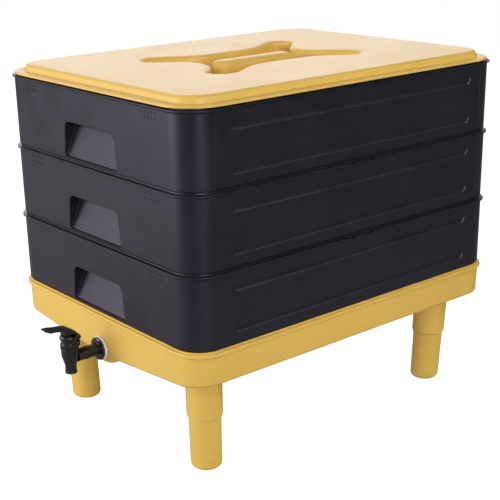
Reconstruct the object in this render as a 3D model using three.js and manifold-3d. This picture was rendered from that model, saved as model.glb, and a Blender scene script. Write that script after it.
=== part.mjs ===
import * as THREE from 'three';
import { mergeVertices } from 'three/addons/utils/BufferGeometryUtils.js';
import { ConvexGeometry } from 'three/addons/geometries/ConvexGeometry.js';
import Module from 'manifold-3d';

// Stacking worm composter. Millimetres, +Z up, the tap on the -X end.

// Plan of the body
const BODY_LENGTH = 524.4;
const BODY_WIDTH = 400;
const BODY_CORNER = 36;
const CORNER_STEPS = 5;

// Walls shared by the trays and the base
const WALL = 2.6;
const WALL_DRAFT = 0.55;
const EDGE = 1;
const SEAT_GAP = 0.3;
const OVERRUN = 2;

// Rim lip that every tray and the base carry
const LIP_REACH = 3.8;
const LIP_EDGE = 1.8;
const LIP_FALL = 1.4;
const LIP_ROOT = 1.6;
const RIM_RISE = 0.7;

// Trays
const TRAY_COUNT = 3;
const TRAY_PITCH = 95;
const NEST_CLEARANCE = 1.2;
const NEST_INSET = WALL + NEST_CLEARANCE;
const NEST_DEPTH = 10;
const NEST_WALL = 2.4;
const TRAY_FLOOR = 2.5;

// Drain slots in a tray floor
const DRAIN_WIDTH = 6;
const DRAIN_LENGTH = 44;
const DRAIN_PITCH_X = 84;
const DRAIN_PITCH_Y = 62;
const DRAIN_MARGIN = 20;

// Hand hold in each short wall
const HOLD_TOP_WIDTH = 107;
const HOLD_FOOT_WIDTH = 116;
const HOLD_HEIGHT = 45;
const HOLD_LIFT = 3.6;
const HOLD_TOP_DEPTH = 23;
const HOLD_FOOT_DEPTH = 8;
const HOLD_TOP_ROUND = 9;
const HOLD_FOOT_ROUND = 2;
const HOLD_WALL = 2.2;

// Air slots beside the hand hold
const VENT_COLUMNS = 5;
const VENT_ROWS = 2;
const VENT_PITCH = 6.4;
const VENT_ROW_PITCH = 6.2;
const VENT_WIDTH = 1.7;
const VENT_HEIGHT = 3.1;
const VENT_GROUP_INSET = 72;
const VENT_TOP_DROP = 10;

// Stiffening channels pressed into each long wall
const CHANNEL_END_MARGIN = 56.2;
const CHANNEL_LENGTH = BODY_LENGTH - CHANNEL_END_MARGIN * 2;
const CHANNEL_HEIGHT = 13.5;
const CHANNEL_STEP_DEPTH = 1.3;
const CHANNEL_CORE_HEIGHT = 7;
const CHANNEL_CORE_DEPTH = 2.8;
const CHANNEL_BACK = 2.2;
const CHANNEL_LOW_LIFT = 22.5;
const CHANNEL_HIGH_LIFT = 74;
const CURVE_STEPS = 3;
const RIB_CURVE_STEPS = 2;

// Finger notches in the lip at the middle of each long side
const NOTCH_WIDTH = 16;
const NOTCH_OFFSET = 17;
const NOTCH_REACH = 2.4;

// Base tray that collects the liquid
const BASE_SWELL = 0.8;
const BASE_DRAFT = 1;
const BASE_SHALLOW = 44;
const BASE_DEEP = 60.5;
const BASE_ROUND = 5;
const BASE_FLOOR = 3;
const BEAD_HEIGHT = 6.5;
const BEAD_ROUND = 1.6;
const WELL_RADIUS = 57;
const WELL_DROP = 6;
const WELL_HALF_WIDTH = 34;
const WELL_LENGTH = 46;
const WELL_STEPS = 4;
const EDGE_STEP_SHARES = [0, 1 / 2, 1];

// Legs and their sockets under the base
const LEG_INSET_X = 53.2;
const LEG_INSET_Y = 55.5;
const LEG_LEAN_SHARE = 0.035;
const LEG_SIDES = 16;
const SOCKET_END_Z = 73.5;
const SOCKET_TOP_RADIUS = 23.1;
const SOCKET_END_RADIUS = 22.75;
const SOCKET_WALL = 2.8;
const SOCKET_DEPTH = 48;
const LEG_CLEARANCE = 0.4;
const LEG_TOP_RADIUS = 20.1;
const LEG_FOOT_RADIUS = 19.7;
const LEG_WALL = 2.4;
const LEG_COLLAR_RADIUS = 21.8;
const LEG_COLLAR_HEIGHT = 2.6;
const LEG_FOOT_ROUND = 6.5;
const LEG_PLUG_LENGTH = 44;
const LEG_PLUG_TAPER = 0.3;
const BASE_RIM_Z = 180.5;

// Lid
const LID_FLANGE = 2.6;
const LID_FLANGE_EDGE = 0.8;
const LID_HEIGHT = 11.6;
const LID_WALL = 2.8;
const PANEL_INSET = 14;
const PANEL_CORNER = 20;
const PANEL_ROUND = 6;
const PANEL_FOOT = 0.7;
const PANEL_STEP_SHARES = [1 / 3, 2 / 3, 1];
const LID_SKIRT_DEPTH = 9;
const LID_SKIRT_CLEARANCE = 1.4;
const LID_SKIRT_INSET = WALL + LID_SKIRT_CLEARANCE;
const LID_SKIRT_WALL = 2.2;

// Bone shaped recess in the lid, and the carrying bar in it
const RECESS_WAIST_Y = 57;
const RECESS_WAIST_X = 87;
const RECESS_LOBE_X = 113;
const RECESS_LOBE_Y = 70;
const RECESS_LOBE_RADIUS = 22;
const RECESS_DEPTH = 20;
const RECESS_DRAFT = 2;
const RECESS_EDGE = 3.5;
const BAR_LENGTH = 133;
const BAR_WIDTH = 29;
const BAR_ROUND = 7;
const BAR_DRAFT = 1.2;
const BAR_STEPS = 6;
const RECESS_STEPS = 4;
// How far a rolled edge has come in, and down, at its middle step
const ROLL_SHARE = 0.3;
// Where a lobe's arc starts and ends, in half turns, and where its flanks leave the waist
const LOBE_START_SHARE = 0.56;
const LOBE_END_SHARE = -0.14;
const WAIST_FLAT_SHARE = 1 / 3;
const WAIST_PULL_SHARE = 0.72;
const LOBE_START_PULL_SHARES = [0.9, 0.1];
const LOBE_END_PULL_SHARES = [0.5, 0.9];
const END_PULL_SHARE = 1 / 2;
const SAME_POINT_SHARE = 0.1;

// Tap
const TAP_DROP = 48.2;
const TAP_REACH = 46.8;
const TAP_SIDES = 16;
const SHANK_RADIUS = 8.2;
const SHANK_BORE = 5;
const SHANK_INSIDE = 17;
const TAP_FLANGE_RADIUS = 15;
const TAP_FLANGE = 3;
const WASHER_RADIUS = 16;
const WASHER = 3;
const INNER_WASHER = 2;
const INNER_WASHER_RADIUS = 14;
const NUT_RADIUS = 13.5;
const NUT_SIDES = 6;
const NUT = 6;
const TAP_PAD = 0.9;
const TAP_CLEARANCE = 0.4;
const BARREL_RADIUS = 11;
const BARREL_BORE = 8;
const BARREL_TOP_DROP = 35.3;
const BARREL_FOOT_DROP = 46;
const SPOUT_TOP_DROP = 53.5;
const SPOUT_END_DROP = 68.8;
const SPOUT_RADIUS = 7.7;
const SPOUT_BORE = 4.6;
const SEAT_DROP = 54;
const BARREL_NECK_RADIUS = 9.6;
const BARREL_NECK = 5.5;
const BONNET_RADIUS = 11.9;
const BONNET_TOP_DROP = 26;
const BONNET_DOME_RADIUS = 9.4;
const BONNET_DOME = 5.6;
const BONNET_EDGE = 1.2;
const STEM_RADIUS = 3;
const STEM_CLEARANCE = 0.35;
const STEM_EYE_WIDTH = 6;
const STEM_EYE_RADIUS = 4.4;
const PIN_RADIUS = 1.5;
const PIN_LIFT = 4;
const CUP_RADIUS = 6.4;
const CUP_HEIGHT = 5;
const CUP_LIP = 1.4;
const LEVER_WIDTH = 12.4;
const LEVER_REACH = 36.5;
const LEVER_TIP_RISE = 14.6;
const LEVER_THICKNESS = 3.2;
const LEVER_HUB_RADIUS = 7.8;
const LEVER_STRAP = 3;
const LEVER_STRAP_CLEARANCE = 1.7;
const LEVER_STRAP_REACH = BONNET_RADIUS + LEVER_STRAP_CLEARANCE + LEVER_STRAP;
const LEVER_STRAP_DROP = 8;
const LEVER_TOP_PULL_SHARE = 0.55;
const LEVER_UNDER_PULL_SHARE = 0.6;
const HOOD_PULL_SHARE = 1.2;
const LEVER_SHOULDER_SHARES = [1 / 3, 1 / 4];
const CHEEK_GAP = 0.35;

const HALF_LENGTH = BODY_LENGTH / 2;
const HALF_WIDTH = BODY_WIDTH / 2;

const wasm = await Module();
wasm.setup();

// Solid from a closed geometry
function solid(geometry) {
  const bare = geometry.clone();
  for (const name of Object.keys(bare.attributes)) if (name !== 'position') bare.deleteAttribute(name);
  const merged = mergeVertices(bare);
  return new wasm.Manifold(new wasm.Mesh({
    numProp: 3,
    vertProperties: new Float32Array(merged.attributes.position.array),
    triVerts: new Uint32Array(merged.index.array),
  }));
}

const join = (list) => list.reduce((sum, item) => sum.add(item));
const cut = (body, list) => list.reduce((rest, item) => rest.subtract(item), body);
const halfTurn = (body) => body.rotate([0, 0, 180]);
const bothEnds = (body) => [body, halfTurn(body)];

// Rounded rectangle, anticlockwise
function roundedRectangle(halfX, halfY, radius) {
  const points = [];
  for (const [sx, sy, start] of [[1, 1, 0], [-1, 1, 1], [-1, -1, 2], [1, -1, 3]]) {
    for (let i = 0; i <= CORNER_STEPS; i++) {
      const a = (start + i / CORNER_STEPS) * Math.PI / 2;
      points.push(new THREE.Vector2(
        sx * (halfX - radius) + radius * Math.cos(a), sy * (halfY - radius) + radius * Math.sin(a)));
    }
  }
  return points;
}

// Outline of the body, moved outward by an offset
const bodyOutline = (offset) =>
  roundedRectangle(HALF_LENGTH + offset, HALF_WIDTH + offset, BODY_CORNER + offset);

// Loft through rings of equal count, given from the bottom up as [outline, z]
function loft(rings) {
  const count = rings[0][0].length;
  const positions = [];
  for (const [outline, z] of rings) for (const p of outline) positions.push(p.x, p.y, z);
  const index = [];
  for (let k = 0; k + 1 < rings.length; k++) {
    for (let i = 0; i < count; i++) {
      const j = (i + 1) % count;
      const [a, b, c, d] = [k * count + i, k * count + j, (k + 1) * count + j, (k + 1) * count + i];
      index.push(a, b, c, a, c, d);
    }
  }
  const last = (rings.length - 1) * count;
  for (const [a, b, c] of THREE.ShapeUtils.triangulateShape(rings[0][0], [])) index.push(a, c, b);
  for (const [a, b, c] of THREE.ShapeUtils.triangulateShape(rings.at(-1)[0], [])) {
    index.push(last + a, last + b, last + c);
  }
  const geometry = new THREE.BufferGeometry();
  geometry.setAttribute('position', new THREE.Float32BufferAttribute(positions, 3));
  geometry.setIndex(index);
  return solid(geometry);
}

// Body-shaped loft given as [offset, z] pairs
const bodyLoft = (pairs) => loft(pairs.map(([offset, z]) => [bodyOutline(offset), z]));

// Extrusion along +Z from z = 0, with an optional bevel inside its outline
function extrude(shape, depth, bevel = 0, curveSegments = CURVE_STEPS) {
  const geometry = new THREE.ExtrudeGeometry(shape, {
    depth: depth - bevel, curveSegments, steps: 1,
    bevelEnabled: bevel > 0, bevelThickness: bevel, bevelSize: bevel, bevelOffset: -bevel, bevelSegments: 1,
  });
  return solid(geometry);
}

// Revolve about Z of a closed profile of [radius, z]
function lathe(profile, sides) {
  const points = profile.map(([r, z]) => new THREE.Vector2(r, z));
  points.push(points[0].clone());
  return new THREE.LatheGeometry(points, sides).rotateX(Math.PI / 2);
}
const revolve = (profile, sides) => solid(lathe(profile, sides));

const box = (x, y, z) => solid(new THREE.BoxGeometry(x, y, z));

// Revolve turned so that its axis lies along X
const alongX = (body) => body.rotate([0, 90, 0]);

const stadium = (length, height) => {
  const r = height / 2;
  const shape = new THREE.Shape();
  shape.moveTo(-length / 2 + r, -r);
  shape.lineTo(length / 2 - r, -r);
  shape.absarc(length / 2 - r, 0, r, -Math.PI / 2, Math.PI / 2, false);
  shape.lineTo(-length / 2 + r, r);
  shape.absarc(-length / 2 + r, 0, r, Math.PI / 2, Math.PI * 3 / 2, false);
  return shape;
};

// Rim lip rings: the wall offset below it, then the lip and its seat at height top
const lipRings = (wallOffset, top) => [
  [wallOffset, top - LIP_FALL - LIP_EDGE - LIP_ROOT],
  [LIP_REACH, top - LIP_FALL - LIP_EDGE],
  [LIP_REACH, top - LIP_FALL],
  [0, top],
];

// Pair of notches in the lip on the -Y side
function lipNotches(top) {
  const height = LIP_FALL + LIP_EDGE + LIP_ROOT;
  const y = -HALF_WIDTH - LIP_REACH + NOTCH_REACH / 2;
  return [-1, 1].map((side) => box(NOTCH_WIDTH, NOTCH_REACH + OVERRUN, height + OVERRUN)
    .translate([side * NOTCH_OFFSET, y - OVERRUN / 2, top - height / 2 + OVERRUN / 2]));
}

// Hand hold seen square to the short wall, grown by an offset, running inward along +X
function holdForm(offset, outside) {
  const foot = HOLD_FOOT_WIDTH / 2 + offset;
  const head = HOLD_TOP_WIDTH / 2 + offset;
  const low = HOLD_LIFT - offset;
  const high = HOLD_LIFT + HOLD_HEIGHT + offset;
  const face = new THREE.Shape();
  face.moveTo(-foot + HOLD_FOOT_ROUND, low);
  face.lineTo(foot - HOLD_FOOT_ROUND, low);
  face.quadraticCurveTo(foot, low, foot, low + HOLD_FOOT_ROUND);
  face.lineTo(head, high - HOLD_TOP_ROUND);
  face.quadraticCurveTo(head, high, head - HOLD_TOP_ROUND, high);
  face.lineTo(-head + HOLD_TOP_ROUND, high);
  face.quadraticCurveTo(-head, high, -head, high - HOLD_TOP_ROUND);
  face.lineTo(-foot, low + HOLD_FOOT_ROUND);
  face.quadraticCurveTo(-foot, low, -foot + HOLD_FOOT_ROUND, low);
  const side = new THREE.Shape();
  side.moveTo(-outside, low - OVERRUN);
  side.lineTo(HOLD_FOOT_DEPTH + offset, low - OVERRUN);
  side.lineTo(HOLD_FOOT_DEPTH + offset, low);
  side.lineTo(HOLD_TOP_DEPTH + offset, high);
  side.lineTo(HOLD_TOP_DEPTH + offset, high + OVERRUN);
  side.lineTo(-outside, high + OVERRUN);
  const depth = HOLD_TOP_DEPTH + offset + outside;
  const front = extrude(face, depth).rotate([90, 0, 90]).translate([-outside, 0, 0]);
  const wedge = extrude(side, foot * 2 + OVERRUN).rotate([90, 0, 0])
    .translate([0, foot + OVERRUN / 2, 0]);
  return front.intersect(wedge).translate([-HALF_LENGTH, 0, 0]);
}

// Air slots of the -X wall
function airSlots(top) {
  const slots = [];
  for (const side of [-1, 1]) {
    for (let row = 0; row < VENT_ROWS; row++) {
      for (let column = 0; column < VENT_COLUMNS; column++) {
        const y = side * (HALF_WIDTH - VENT_GROUP_INSET) + (column - (VENT_COLUMNS - 1) / 2) * VENT_PITCH;
        slots.push(box(WALL + OVERRUN * 2, VENT_WIDTH, VENT_HEIGHT)
          .translate([-HALF_LENGTH + WALL / 2, y, top - VENT_TOP_DROP - row * VENT_ROW_PITCH]));
      }
    }
  }
  return slots;
}

// Channel of the -Y wall at a height: the cut, and the rib that backs it inside
const channelPlace = (body, lift) => body.rotate([-90, 0, 0]).translate([0, -HALF_WIDTH - OVERRUN, lift]);
function channelCut(lift) {
  const step = extrude(stadium(CHANNEL_LENGTH, CHANNEL_HEIGHT),
    OVERRUN + CHANNEL_STEP_DEPTH, CHANNEL_STEP_DEPTH);
  const inner = CHANNEL_LENGTH - (CHANNEL_HEIGHT - CHANNEL_CORE_HEIGHT);
  const core = extrude(stadium(inner, CHANNEL_CORE_HEIGHT), OVERRUN + CHANNEL_CORE_DEPTH);
  return channelPlace(step.add(core), lift);
}
function channelRib(lift) {
  const length = CHANNEL_LENGTH - (CHANNEL_HEIGHT - CHANNEL_CORE_HEIGHT) + CHANNEL_BACK * 2;
  const depth = CHANNEL_CORE_DEPTH + CHANNEL_BACK - EDGE;
  return extrude(stadium(length, CHANNEL_CORE_HEIGHT + CHANNEL_BACK * 2), depth, 0, RIB_CURVE_STEPS)
    .rotate([-90, 0, 0]).translate([0, -HALF_WIDTH + EDGE, lift]);
}

// Drain slots of a tray floor, in a grid kept inside the nesting wall
function drains() {
  const holes = [];
  const reach = (half, pitch) => Math.floor((half - NEST_INSET - NEST_WALL - DRAIN_MARGIN) / pitch);
  const columns = reach(HALF_LENGTH, DRAIN_PITCH_X);
  const rows = reach(HALF_WIDTH, DRAIN_PITCH_Y);
  const drill = box(DRAIN_LENGTH, DRAIN_WIDTH, TRAY_FLOOR + OVERRUN * 2);
  for (let i = -columns; i <= columns; i++) {
    for (let j = -rows; j <= rows; j++) {
      holes.push(drill.translate([i * DRAIN_PITCH_X, j * DRAIN_PITCH_Y, -NEST_DEPTH + TRAY_FLOOR / 2]));
    }
  }
  return holes;
}

// One working tray, its resting edge at z = 0
function trayBody() {
  const top = TRAY_PITCH - SEAT_GAP;
  const outer = bodyLoft([
    [-NEST_INSET - EDGE, -NEST_DEPTH], [-NEST_INSET, 0], [-EDGE, 0], [0, EDGE], ...lipRings(WALL_DRAFT, top),
  ]);
  const nest = -NEST_INSET - NEST_WALL;
  const inner = bodyLoft([
    [nest, -NEST_DEPTH + TRAY_FLOOR], [nest, WALL], [-WALL, WALL + NEST_INSET],
    [WALL_DRAFT - WALL, top + OVERRUN],
  ]);
  const lifts = [CHANNEL_LOW_LIFT, CHANNEL_HIGH_LIFT];
  const shell = join([outer.subtract(inner),
    ...lifts.flatMap((lift) => bothEnds(channelRib(lift))),
    ...bothEnds(holdForm(HOLD_WALL, -EDGE))]);
  return cut(shell, [
    ...bothEnds(join([holdForm(0, OVERRUN), ...airSlots(top)])),
    ...lifts.flatMap((lift) => bothEnds(channelCut(lift))),
    ...bothEnds(join(lipNotches(top))), ...drains(),
  ]);
}

// Underside height of the sump below the rim: a valley toward the tap, level at the far end
function sumpDepth(x, y) {
  const fall = BASE_DEEP - BASE_SHALLOW;
  return -BASE_DEEP + fall * Math.max(Math.abs(y) / HALF_WIDTH, (x + HALF_LENGTH) / BODY_LENGTH);
}

// Convex hull of the sump, with rounded lower edges, moved inward by an offset and up by a lift
function sumpHull(offset, lift, top) {
  const points = [];
  const round = BASE_ROUND - Math.max(offset, 0);
  const ring = (inset, rise) => {
    const grow = BASE_SWELL - offset - inset;
    const outline = bodyOutline(grow);
    outline.push(new THREE.Vector2(-HALF_LENGTH - grow, 0));
    for (const p of outline) points.push(new THREE.Vector3(p.x, p.y, sumpDepth(p.x, p.y) + lift + rise));
  };
  for (const p of bodyOutline(BASE_SWELL - offset)) points.push(new THREE.Vector3(p.x, p.y, top));
  for (const share of EDGE_STEP_SHARES) {
    const a = share * Math.PI / 2;
    ring(BASE_DRAFT + round * (1 - Math.cos(a)), round * (1 - Math.sin(a)));
  }
  return solid(new ConvexGeometry(points));
}

// Well behind the tap: a round-bottomed swelling of the sump floor
function wellHull(offset, lift) {
  const points = [];
  const radius = WELL_RADIUS - lift;
  const centre = -BASE_DEEP - WELL_DROP + WELL_RADIUS;
  const span = Math.asin((WELL_HALF_WIDTH - offset) / WELL_RADIUS);
  const face = -HALF_LENGTH - BASE_SWELL + BASE_DRAFT + offset;
  const round = BASE_ROUND - offset;
  const arc = (x, r) => {
    for (let i = -WELL_STEPS; i <= WELL_STEPS; i++) {
      const a = span * i / WELL_STEPS;
      points.push(new THREE.Vector3(x, r * Math.sin(a), centre - r * Math.cos(a)));
    }
  };
  for (const share of EDGE_STEP_SHARES) {
    const a = share * Math.PI / 2;
    arc(face + round * (1 - Math.cos(a)), radius - round * (1 - Math.sin(a)));
  }
  arc(face + WELL_LENGTH, radius - WELL_DROP * 2);
  for (const y of [-1, 1]) {
    for (const x of [face, face + WELL_LENGTH]) {
      points.push(new THREE.Vector3(x, y * (WELL_HALF_WIDTH - offset), -BASE_SHALLOW));
    }
  }
  return solid(new ConvexGeometry(points));
}

// Lean of a leg: a shear toward the middle of the base, still at the foot of the base's long sides
function lean(geometry, sx, sy) {
  const [x, y] = [sx * (HALF_LENGTH - LEG_INSET_X), sy * (HALF_WIDTH - LEG_INSET_Y)];
  const [leanX, leanY] = [sx * LEG_LEAN_SHARE, sy * LEG_LEAN_SHARE];
  const still = BASE_RIM_Z - BASE_SHALLOW;
  const shear = new THREE.Matrix4().set(
    1, 0, leanX, x - leanX * still,
    0, 1, leanY, y - leanY * still,
    0, 0, 1, 0,
    0, 0, 0, 1);
  return solid(geometry.applyMatrix4(shear));
}
const legPlaces = [[-1, -1], [1, -1], [1, 1], [-1, 1]];

// Leg socket: a blind tube whose top follows the slope of the sump above it
function socketBody(sx, sy) {
  const top = BASE_RIM_Z - BASE_SHALLOW;
  const outer = lathe([[0, SOCKET_END_Z], [SOCKET_END_RADIUS, SOCKET_END_Z],
    [SOCKET_TOP_RADIUS, top], [0, top]], LEG_SIDES);
  const r = SOCKET_END_RADIUS - SOCKET_WALL;
  const bore = lathe([[0, SOCKET_END_Z - OVERRUN], [r, SOCKET_END_Z - OVERRUN],
    [r - LEG_PLUG_TAPER, SOCKET_END_Z + SOCKET_DEPTH], [0, SOCKET_END_Z + SOCKET_DEPTH]], LEG_SIDES);
  const sump = sumpHull(-SEAT_GAP, -SEAT_GAP, -BEAD_HEIGHT).translate([0, 0, BASE_RIM_Z]);
  return cut(lean(outer, sx, sy), [lean(bore, sx, sy), sump]);
}

// Base tray, its rim plane at z = 0
function baseBody() {
  const bead = bodyLoft([
    [BASE_SWELL, -BEAD_HEIGHT - BEAD_ROUND * 2], [BASE_SWELL, -BEAD_HEIGHT],
    [LIP_REACH - BEAD_ROUND / 2, -BEAD_HEIGHT + BEAD_ROUND / 2], [LIP_REACH, -BEAD_HEIGHT + BEAD_ROUND],
    [LIP_REACH, RIM_RISE - LIP_FALL - BEAD_ROUND / 2], [LIP_REACH - BEAD_ROUND / 2, RIM_RISE - LIP_FALL / 2],
    [0, RIM_RISE],
  ]);
  const pad = alongX(revolve([[0, 0], [WASHER_RADIUS, 0], [WASHER_RADIUS, TAP_PAD + EDGE],
    [0, TAP_PAD + EDGE]], TAP_SIDES)).translate([-HALF_LENGTH - TAP_PAD, 0, -TAP_DROP]);
  const outer = join([sumpHull(0, 0, -BEAD_HEIGHT), bead, wellHull(0, 0), pad]);
  const cavity = join([sumpHull(WALL, BASE_FLOOR, -BEAD_HEIGHT), wellHull(WALL, BASE_FLOOR),
    bodyLoft([[BASE_SWELL - WALL - EDGE, -BEAD_HEIGHT - OVERRUN], [BASE_SWELL - WALL, -BEAD_HEIGHT],
      [BASE_SWELL - WALL, RIM_RISE + OVERRUN]])]);
  const length = WALL + TAP_PAD + OVERRUN * 2;
  const hole = alongX(revolve([[0, 0], [SHANK_RADIUS + TAP_CLEARANCE, 0],
    [SHANK_RADIUS + TAP_CLEARANCE, length], [0, length]], TAP_SIDES))
    .translate([-HALF_LENGTH - TAP_PAD - OVERRUN, 0, -TAP_DROP]);
  return cut(outer, [cavity, hole, ...bothEnds(join(lipNotches(RIM_RISE)))]);
}

// Leg: a hollow push-in tube with a stop collar
function legBody(sx, sy) {
  const stop = SOCKET_END_Z - SEAT_GAP;
  const plug = SOCKET_END_RADIUS - SOCKET_WALL - LEG_CLEARANCE;
  const tip = plug - LEG_PLUG_TAPER;
  const r = LEG_FOOT_RADIUS;
  const rise = LEG_FOOT_ROUND;
  const bend = (share) => [r - rise * (1 - Math.sin(share * Math.PI / 2)),
    rise * (1 - Math.cos(share * Math.PI / 2))];
  const tube = lathe([[0, 0], ...EDGE_STEP_SHARES.map(bend),
    [LEG_TOP_RADIUS, stop - LEG_COLLAR_HEIGHT], [LEG_COLLAR_RADIUS, stop - LEG_COLLAR_HEIGHT],
    [LEG_COLLAR_RADIUS, stop], [plug, stop], [tip, stop + LEG_PLUG_LENGTH],
    [tip - LEG_WALL, stop + LEG_PLUG_LENGTH], [plug - LEG_WALL, stop],
    [r - LEG_WALL, rise], [r - rise, LEG_WALL], [0, LEG_WALL]], LEG_SIDES);
  return lean(tube, sx, sy);
}

// Outline of the bone shaped recess, moved outward by an offset
function recessOutline(offset) {
  const [wx, wy] = [RECESS_WAIST_X + offset, RECESS_WAIST_Y + offset];
  const [lx, ly, r] = [RECESS_LOBE_X, RECESS_LOBE_Y, RECESS_LOBE_RADIUS + offset];
  const start = Math.PI * LOBE_START_SHARE;
  const end = Math.PI * LOBE_END_SHARE;
  const at = (a) => [lx + r * Math.cos(a), ly + r * Math.sin(a)];
  const [x0, y0] = at(start);
  const [x1, y1] = at(end);
  const [outX, outY] = LOBE_START_PULL_SHARES;
  const [backX, backY] = LOBE_END_PULL_SHARES;
  const quarter = new THREE.Path();
  quarter.moveTo(wx * WAIST_FLAT_SHARE, wy);
  quarter.bezierCurveTo(wx * WAIST_PULL_SHARE, wy, x0 - r * outX, y0 - r * outY, x0, y0);
  quarter.absarc(lx, ly, r, start, end, true);
  quarter.bezierCurveTo(x1 - r * backX, y1 - r * backY, wx, ly * END_PULL_SHARE, wx, 0);
  const points = quarter.getPoints(RECESS_STEPS);
  const same = EDGE * SAME_POINT_SHARE;
  const unique = points.filter((p, i) => i === 0 || p.distanceTo(points[i - 1]) > same);
  const mirror = (list, sx, sy) => list.map((p) => new THREE.Vector2(p.x * sx, p.y * sy));
  const back = [...unique].reverse();
  const open = unique.slice(0, -1);
  return [...back, ...mirror(unique, -1, 1), ...mirror(back.slice(1), -1, -1), ...mirror(open, 1, -1)];
}
const barOutline = (offset) => {
  const [r, half] = [BAR_WIDTH / 2 + offset, (BAR_LENGTH - BAR_WIDTH) / 2];
  const points = [];
  for (const side of [1, -1]) {
    for (let i = 0; i <= BAR_STEPS; i++) {
      const a = (i / BAR_STEPS - 1 / 2) * Math.PI + (side < 0 ? Math.PI : 0);
      points.push(new THREE.Vector2(side * half + r * Math.cos(a), r * Math.sin(a)));
    }
  }
  return points;
};

// Lid, the underside of its flange at z = 0
function lidBody() {
  const top = LID_HEIGHT;
  const side = LIP_REACH - PANEL_INSET;
  const panel = (offset) => roundedRectangle(
    HALF_LENGTH + side + offset, HALF_WIDTH + side + offset, PANEL_CORNER + offset);
  const flange = bodyLoft([[LIP_REACH - LID_FLANGE_EDGE, 0], [LIP_REACH, LID_FLANGE_EDGE],
    [LIP_REACH, LID_FLANGE - LID_FLANGE_EDGE], [LIP_REACH - LID_FLANGE_EDGE, LID_FLANGE]]);
  const rounded = (round, high, grow) => PANEL_STEP_SHARES.map((share) => {
    const a = share * Math.PI / 2;
    return [panel(grow - round * (1 - Math.cos(a))), high - round * (1 - Math.sin(a))];
  });
  const raised = loft([[panel(PANEL_FOOT), EDGE], [panel(PANEL_FOOT), LID_FLANGE],
    [panel(0), top - PANEL_ROUND], ...rounded(PANEL_ROUND, top, 0)]);
  const hollow = loft([[panel(-LID_WALL), -OVERRUN], [panel(-LID_WALL), top - PANEL_ROUND],
    ...rounded(PANEL_ROUND - LID_WALL, top - LID_WALL, -LID_WALL)]);
  const skirtOuter = -LID_SKIRT_INSET;
  const skirt = bodyLoft([[skirtOuter - EDGE, -LID_SKIRT_DEPTH], [skirtOuter, -LID_SKIRT_DEPTH + EDGE],
    [skirtOuter, EDGE]]);
  const skirtHollow = bodyLoft([[skirtOuter - LID_SKIRT_WALL - EDGE, -LID_SKIRT_DEPTH - OVERRUN],
    [skirtOuter - LID_SKIRT_WALL, 0]]);
  const floor = top - RECESS_DEPTH;
  const recess = loft([[recessOutline(-RECESS_DRAFT), floor], [recessOutline(0), top - RECESS_EDGE],
    [recessOutline(RECESS_EDGE * ROLL_SHARE), top - RECESS_EDGE * ROLL_SHARE],
    [recessOutline(RECESS_EDGE), top],
    [recessOutline(RECESS_EDGE), top + OVERRUN]]);
  const bowl = loft([[recessOutline(LID_WALL - RECESS_DRAFT), floor - LID_WALL],
    [recessOutline(LID_WALL), top - LID_WALL - EDGE], [recessOutline(LID_WALL + EDGE), top - EDGE]]);
  const bar = loft([[barOutline(BAR_DRAFT), floor - EDGE], [barOutline(0), top - BAR_ROUND],
    [barOutline(-BAR_ROUND * ROLL_SHARE), top - BAR_ROUND * ROLL_SHARE], [barOutline(-BAR_ROUND), top]]);
  const barHollow = loft([[barOutline(BAR_DRAFT - LID_WALL), floor - LID_WALL - OVERRUN],
    [barOutline(-LID_WALL), top - BAR_ROUND], [barOutline(-BAR_ROUND), top - LID_WALL]]);
  const shell = join([flange, raised, skirt]).subtract(skirtHollow).subtract(hollow);
  return join([shell, bowl]).subtract(recess).add(bar).subtract(barHollow);
}

// Tap pieces, on the barrel's axis, with the rim plane at z = 0
function tapBody() {
  const outer = revolve([[0, -SPOUT_END_DROP], [SPOUT_RADIUS, -SPOUT_END_DROP],
    [SPOUT_RADIUS, -SPOUT_TOP_DROP], [BARREL_RADIUS, -BARREL_FOOT_DROP],
    [BARREL_RADIUS, -BARREL_TOP_DROP - SEAT_GAP], [BARREL_NECK_RADIUS, -BARREL_TOP_DROP - SEAT_GAP],
    [BARREL_NECK_RADIUS, -BARREL_TOP_DROP + BARREL_NECK], [0, -BARREL_TOP_DROP + BARREL_NECK]], TAP_SIDES);
  const flangeX = TAP_REACH - TAP_PAD - SEAT_GAP - WASHER - SEAT_GAP - TAP_FLANGE;
  const end = TAP_REACH + SHANK_INSIDE;
  const shank = alongX(revolve([[0, 0], [SHANK_RADIUS, 0], [SHANK_RADIUS, flangeX],
    [TAP_FLANGE_RADIUS, flangeX], [TAP_FLANGE_RADIUS, flangeX + TAP_FLANGE],
    [SHANK_RADIUS, flangeX + TAP_FLANGE], [SHANK_RADIUS, end], [0, end]], TAP_SIDES))
    .translate([0, 0, -TAP_DROP]);
  const bore = revolve([[0, -SPOUT_END_DROP - OVERRUN], [SPOUT_BORE, -SPOUT_END_DROP - OVERRUN],
    [SPOUT_BORE, -SEAT_DROP], [BARREL_BORE, -SEAT_DROP], [BARREL_BORE, OVERRUN - BARREL_TOP_DROP
    + BARREL_NECK], [0, OVERRUN - BARREL_TOP_DROP + BARREL_NECK]], TAP_SIDES);
  const inlet = alongX(revolve([[0, 0], [SHANK_BORE, 0], [SHANK_BORE, end + OVERRUN],
    [0, end + OVERRUN]], TAP_SIDES)).translate([0, 0, -TAP_DROP]);
  return cut(outer.add(shank), [bore, inlet]);
}

const ringBore = SHANK_RADIUS + SEAT_GAP;
const ringAlongX = (bore, radius, length, sides, x) => alongX(revolve(
  [[bore, 0], [radius, 0], [radius, length], [bore, length]], sides)).translate([x, 0, -TAP_DROP]);

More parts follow.
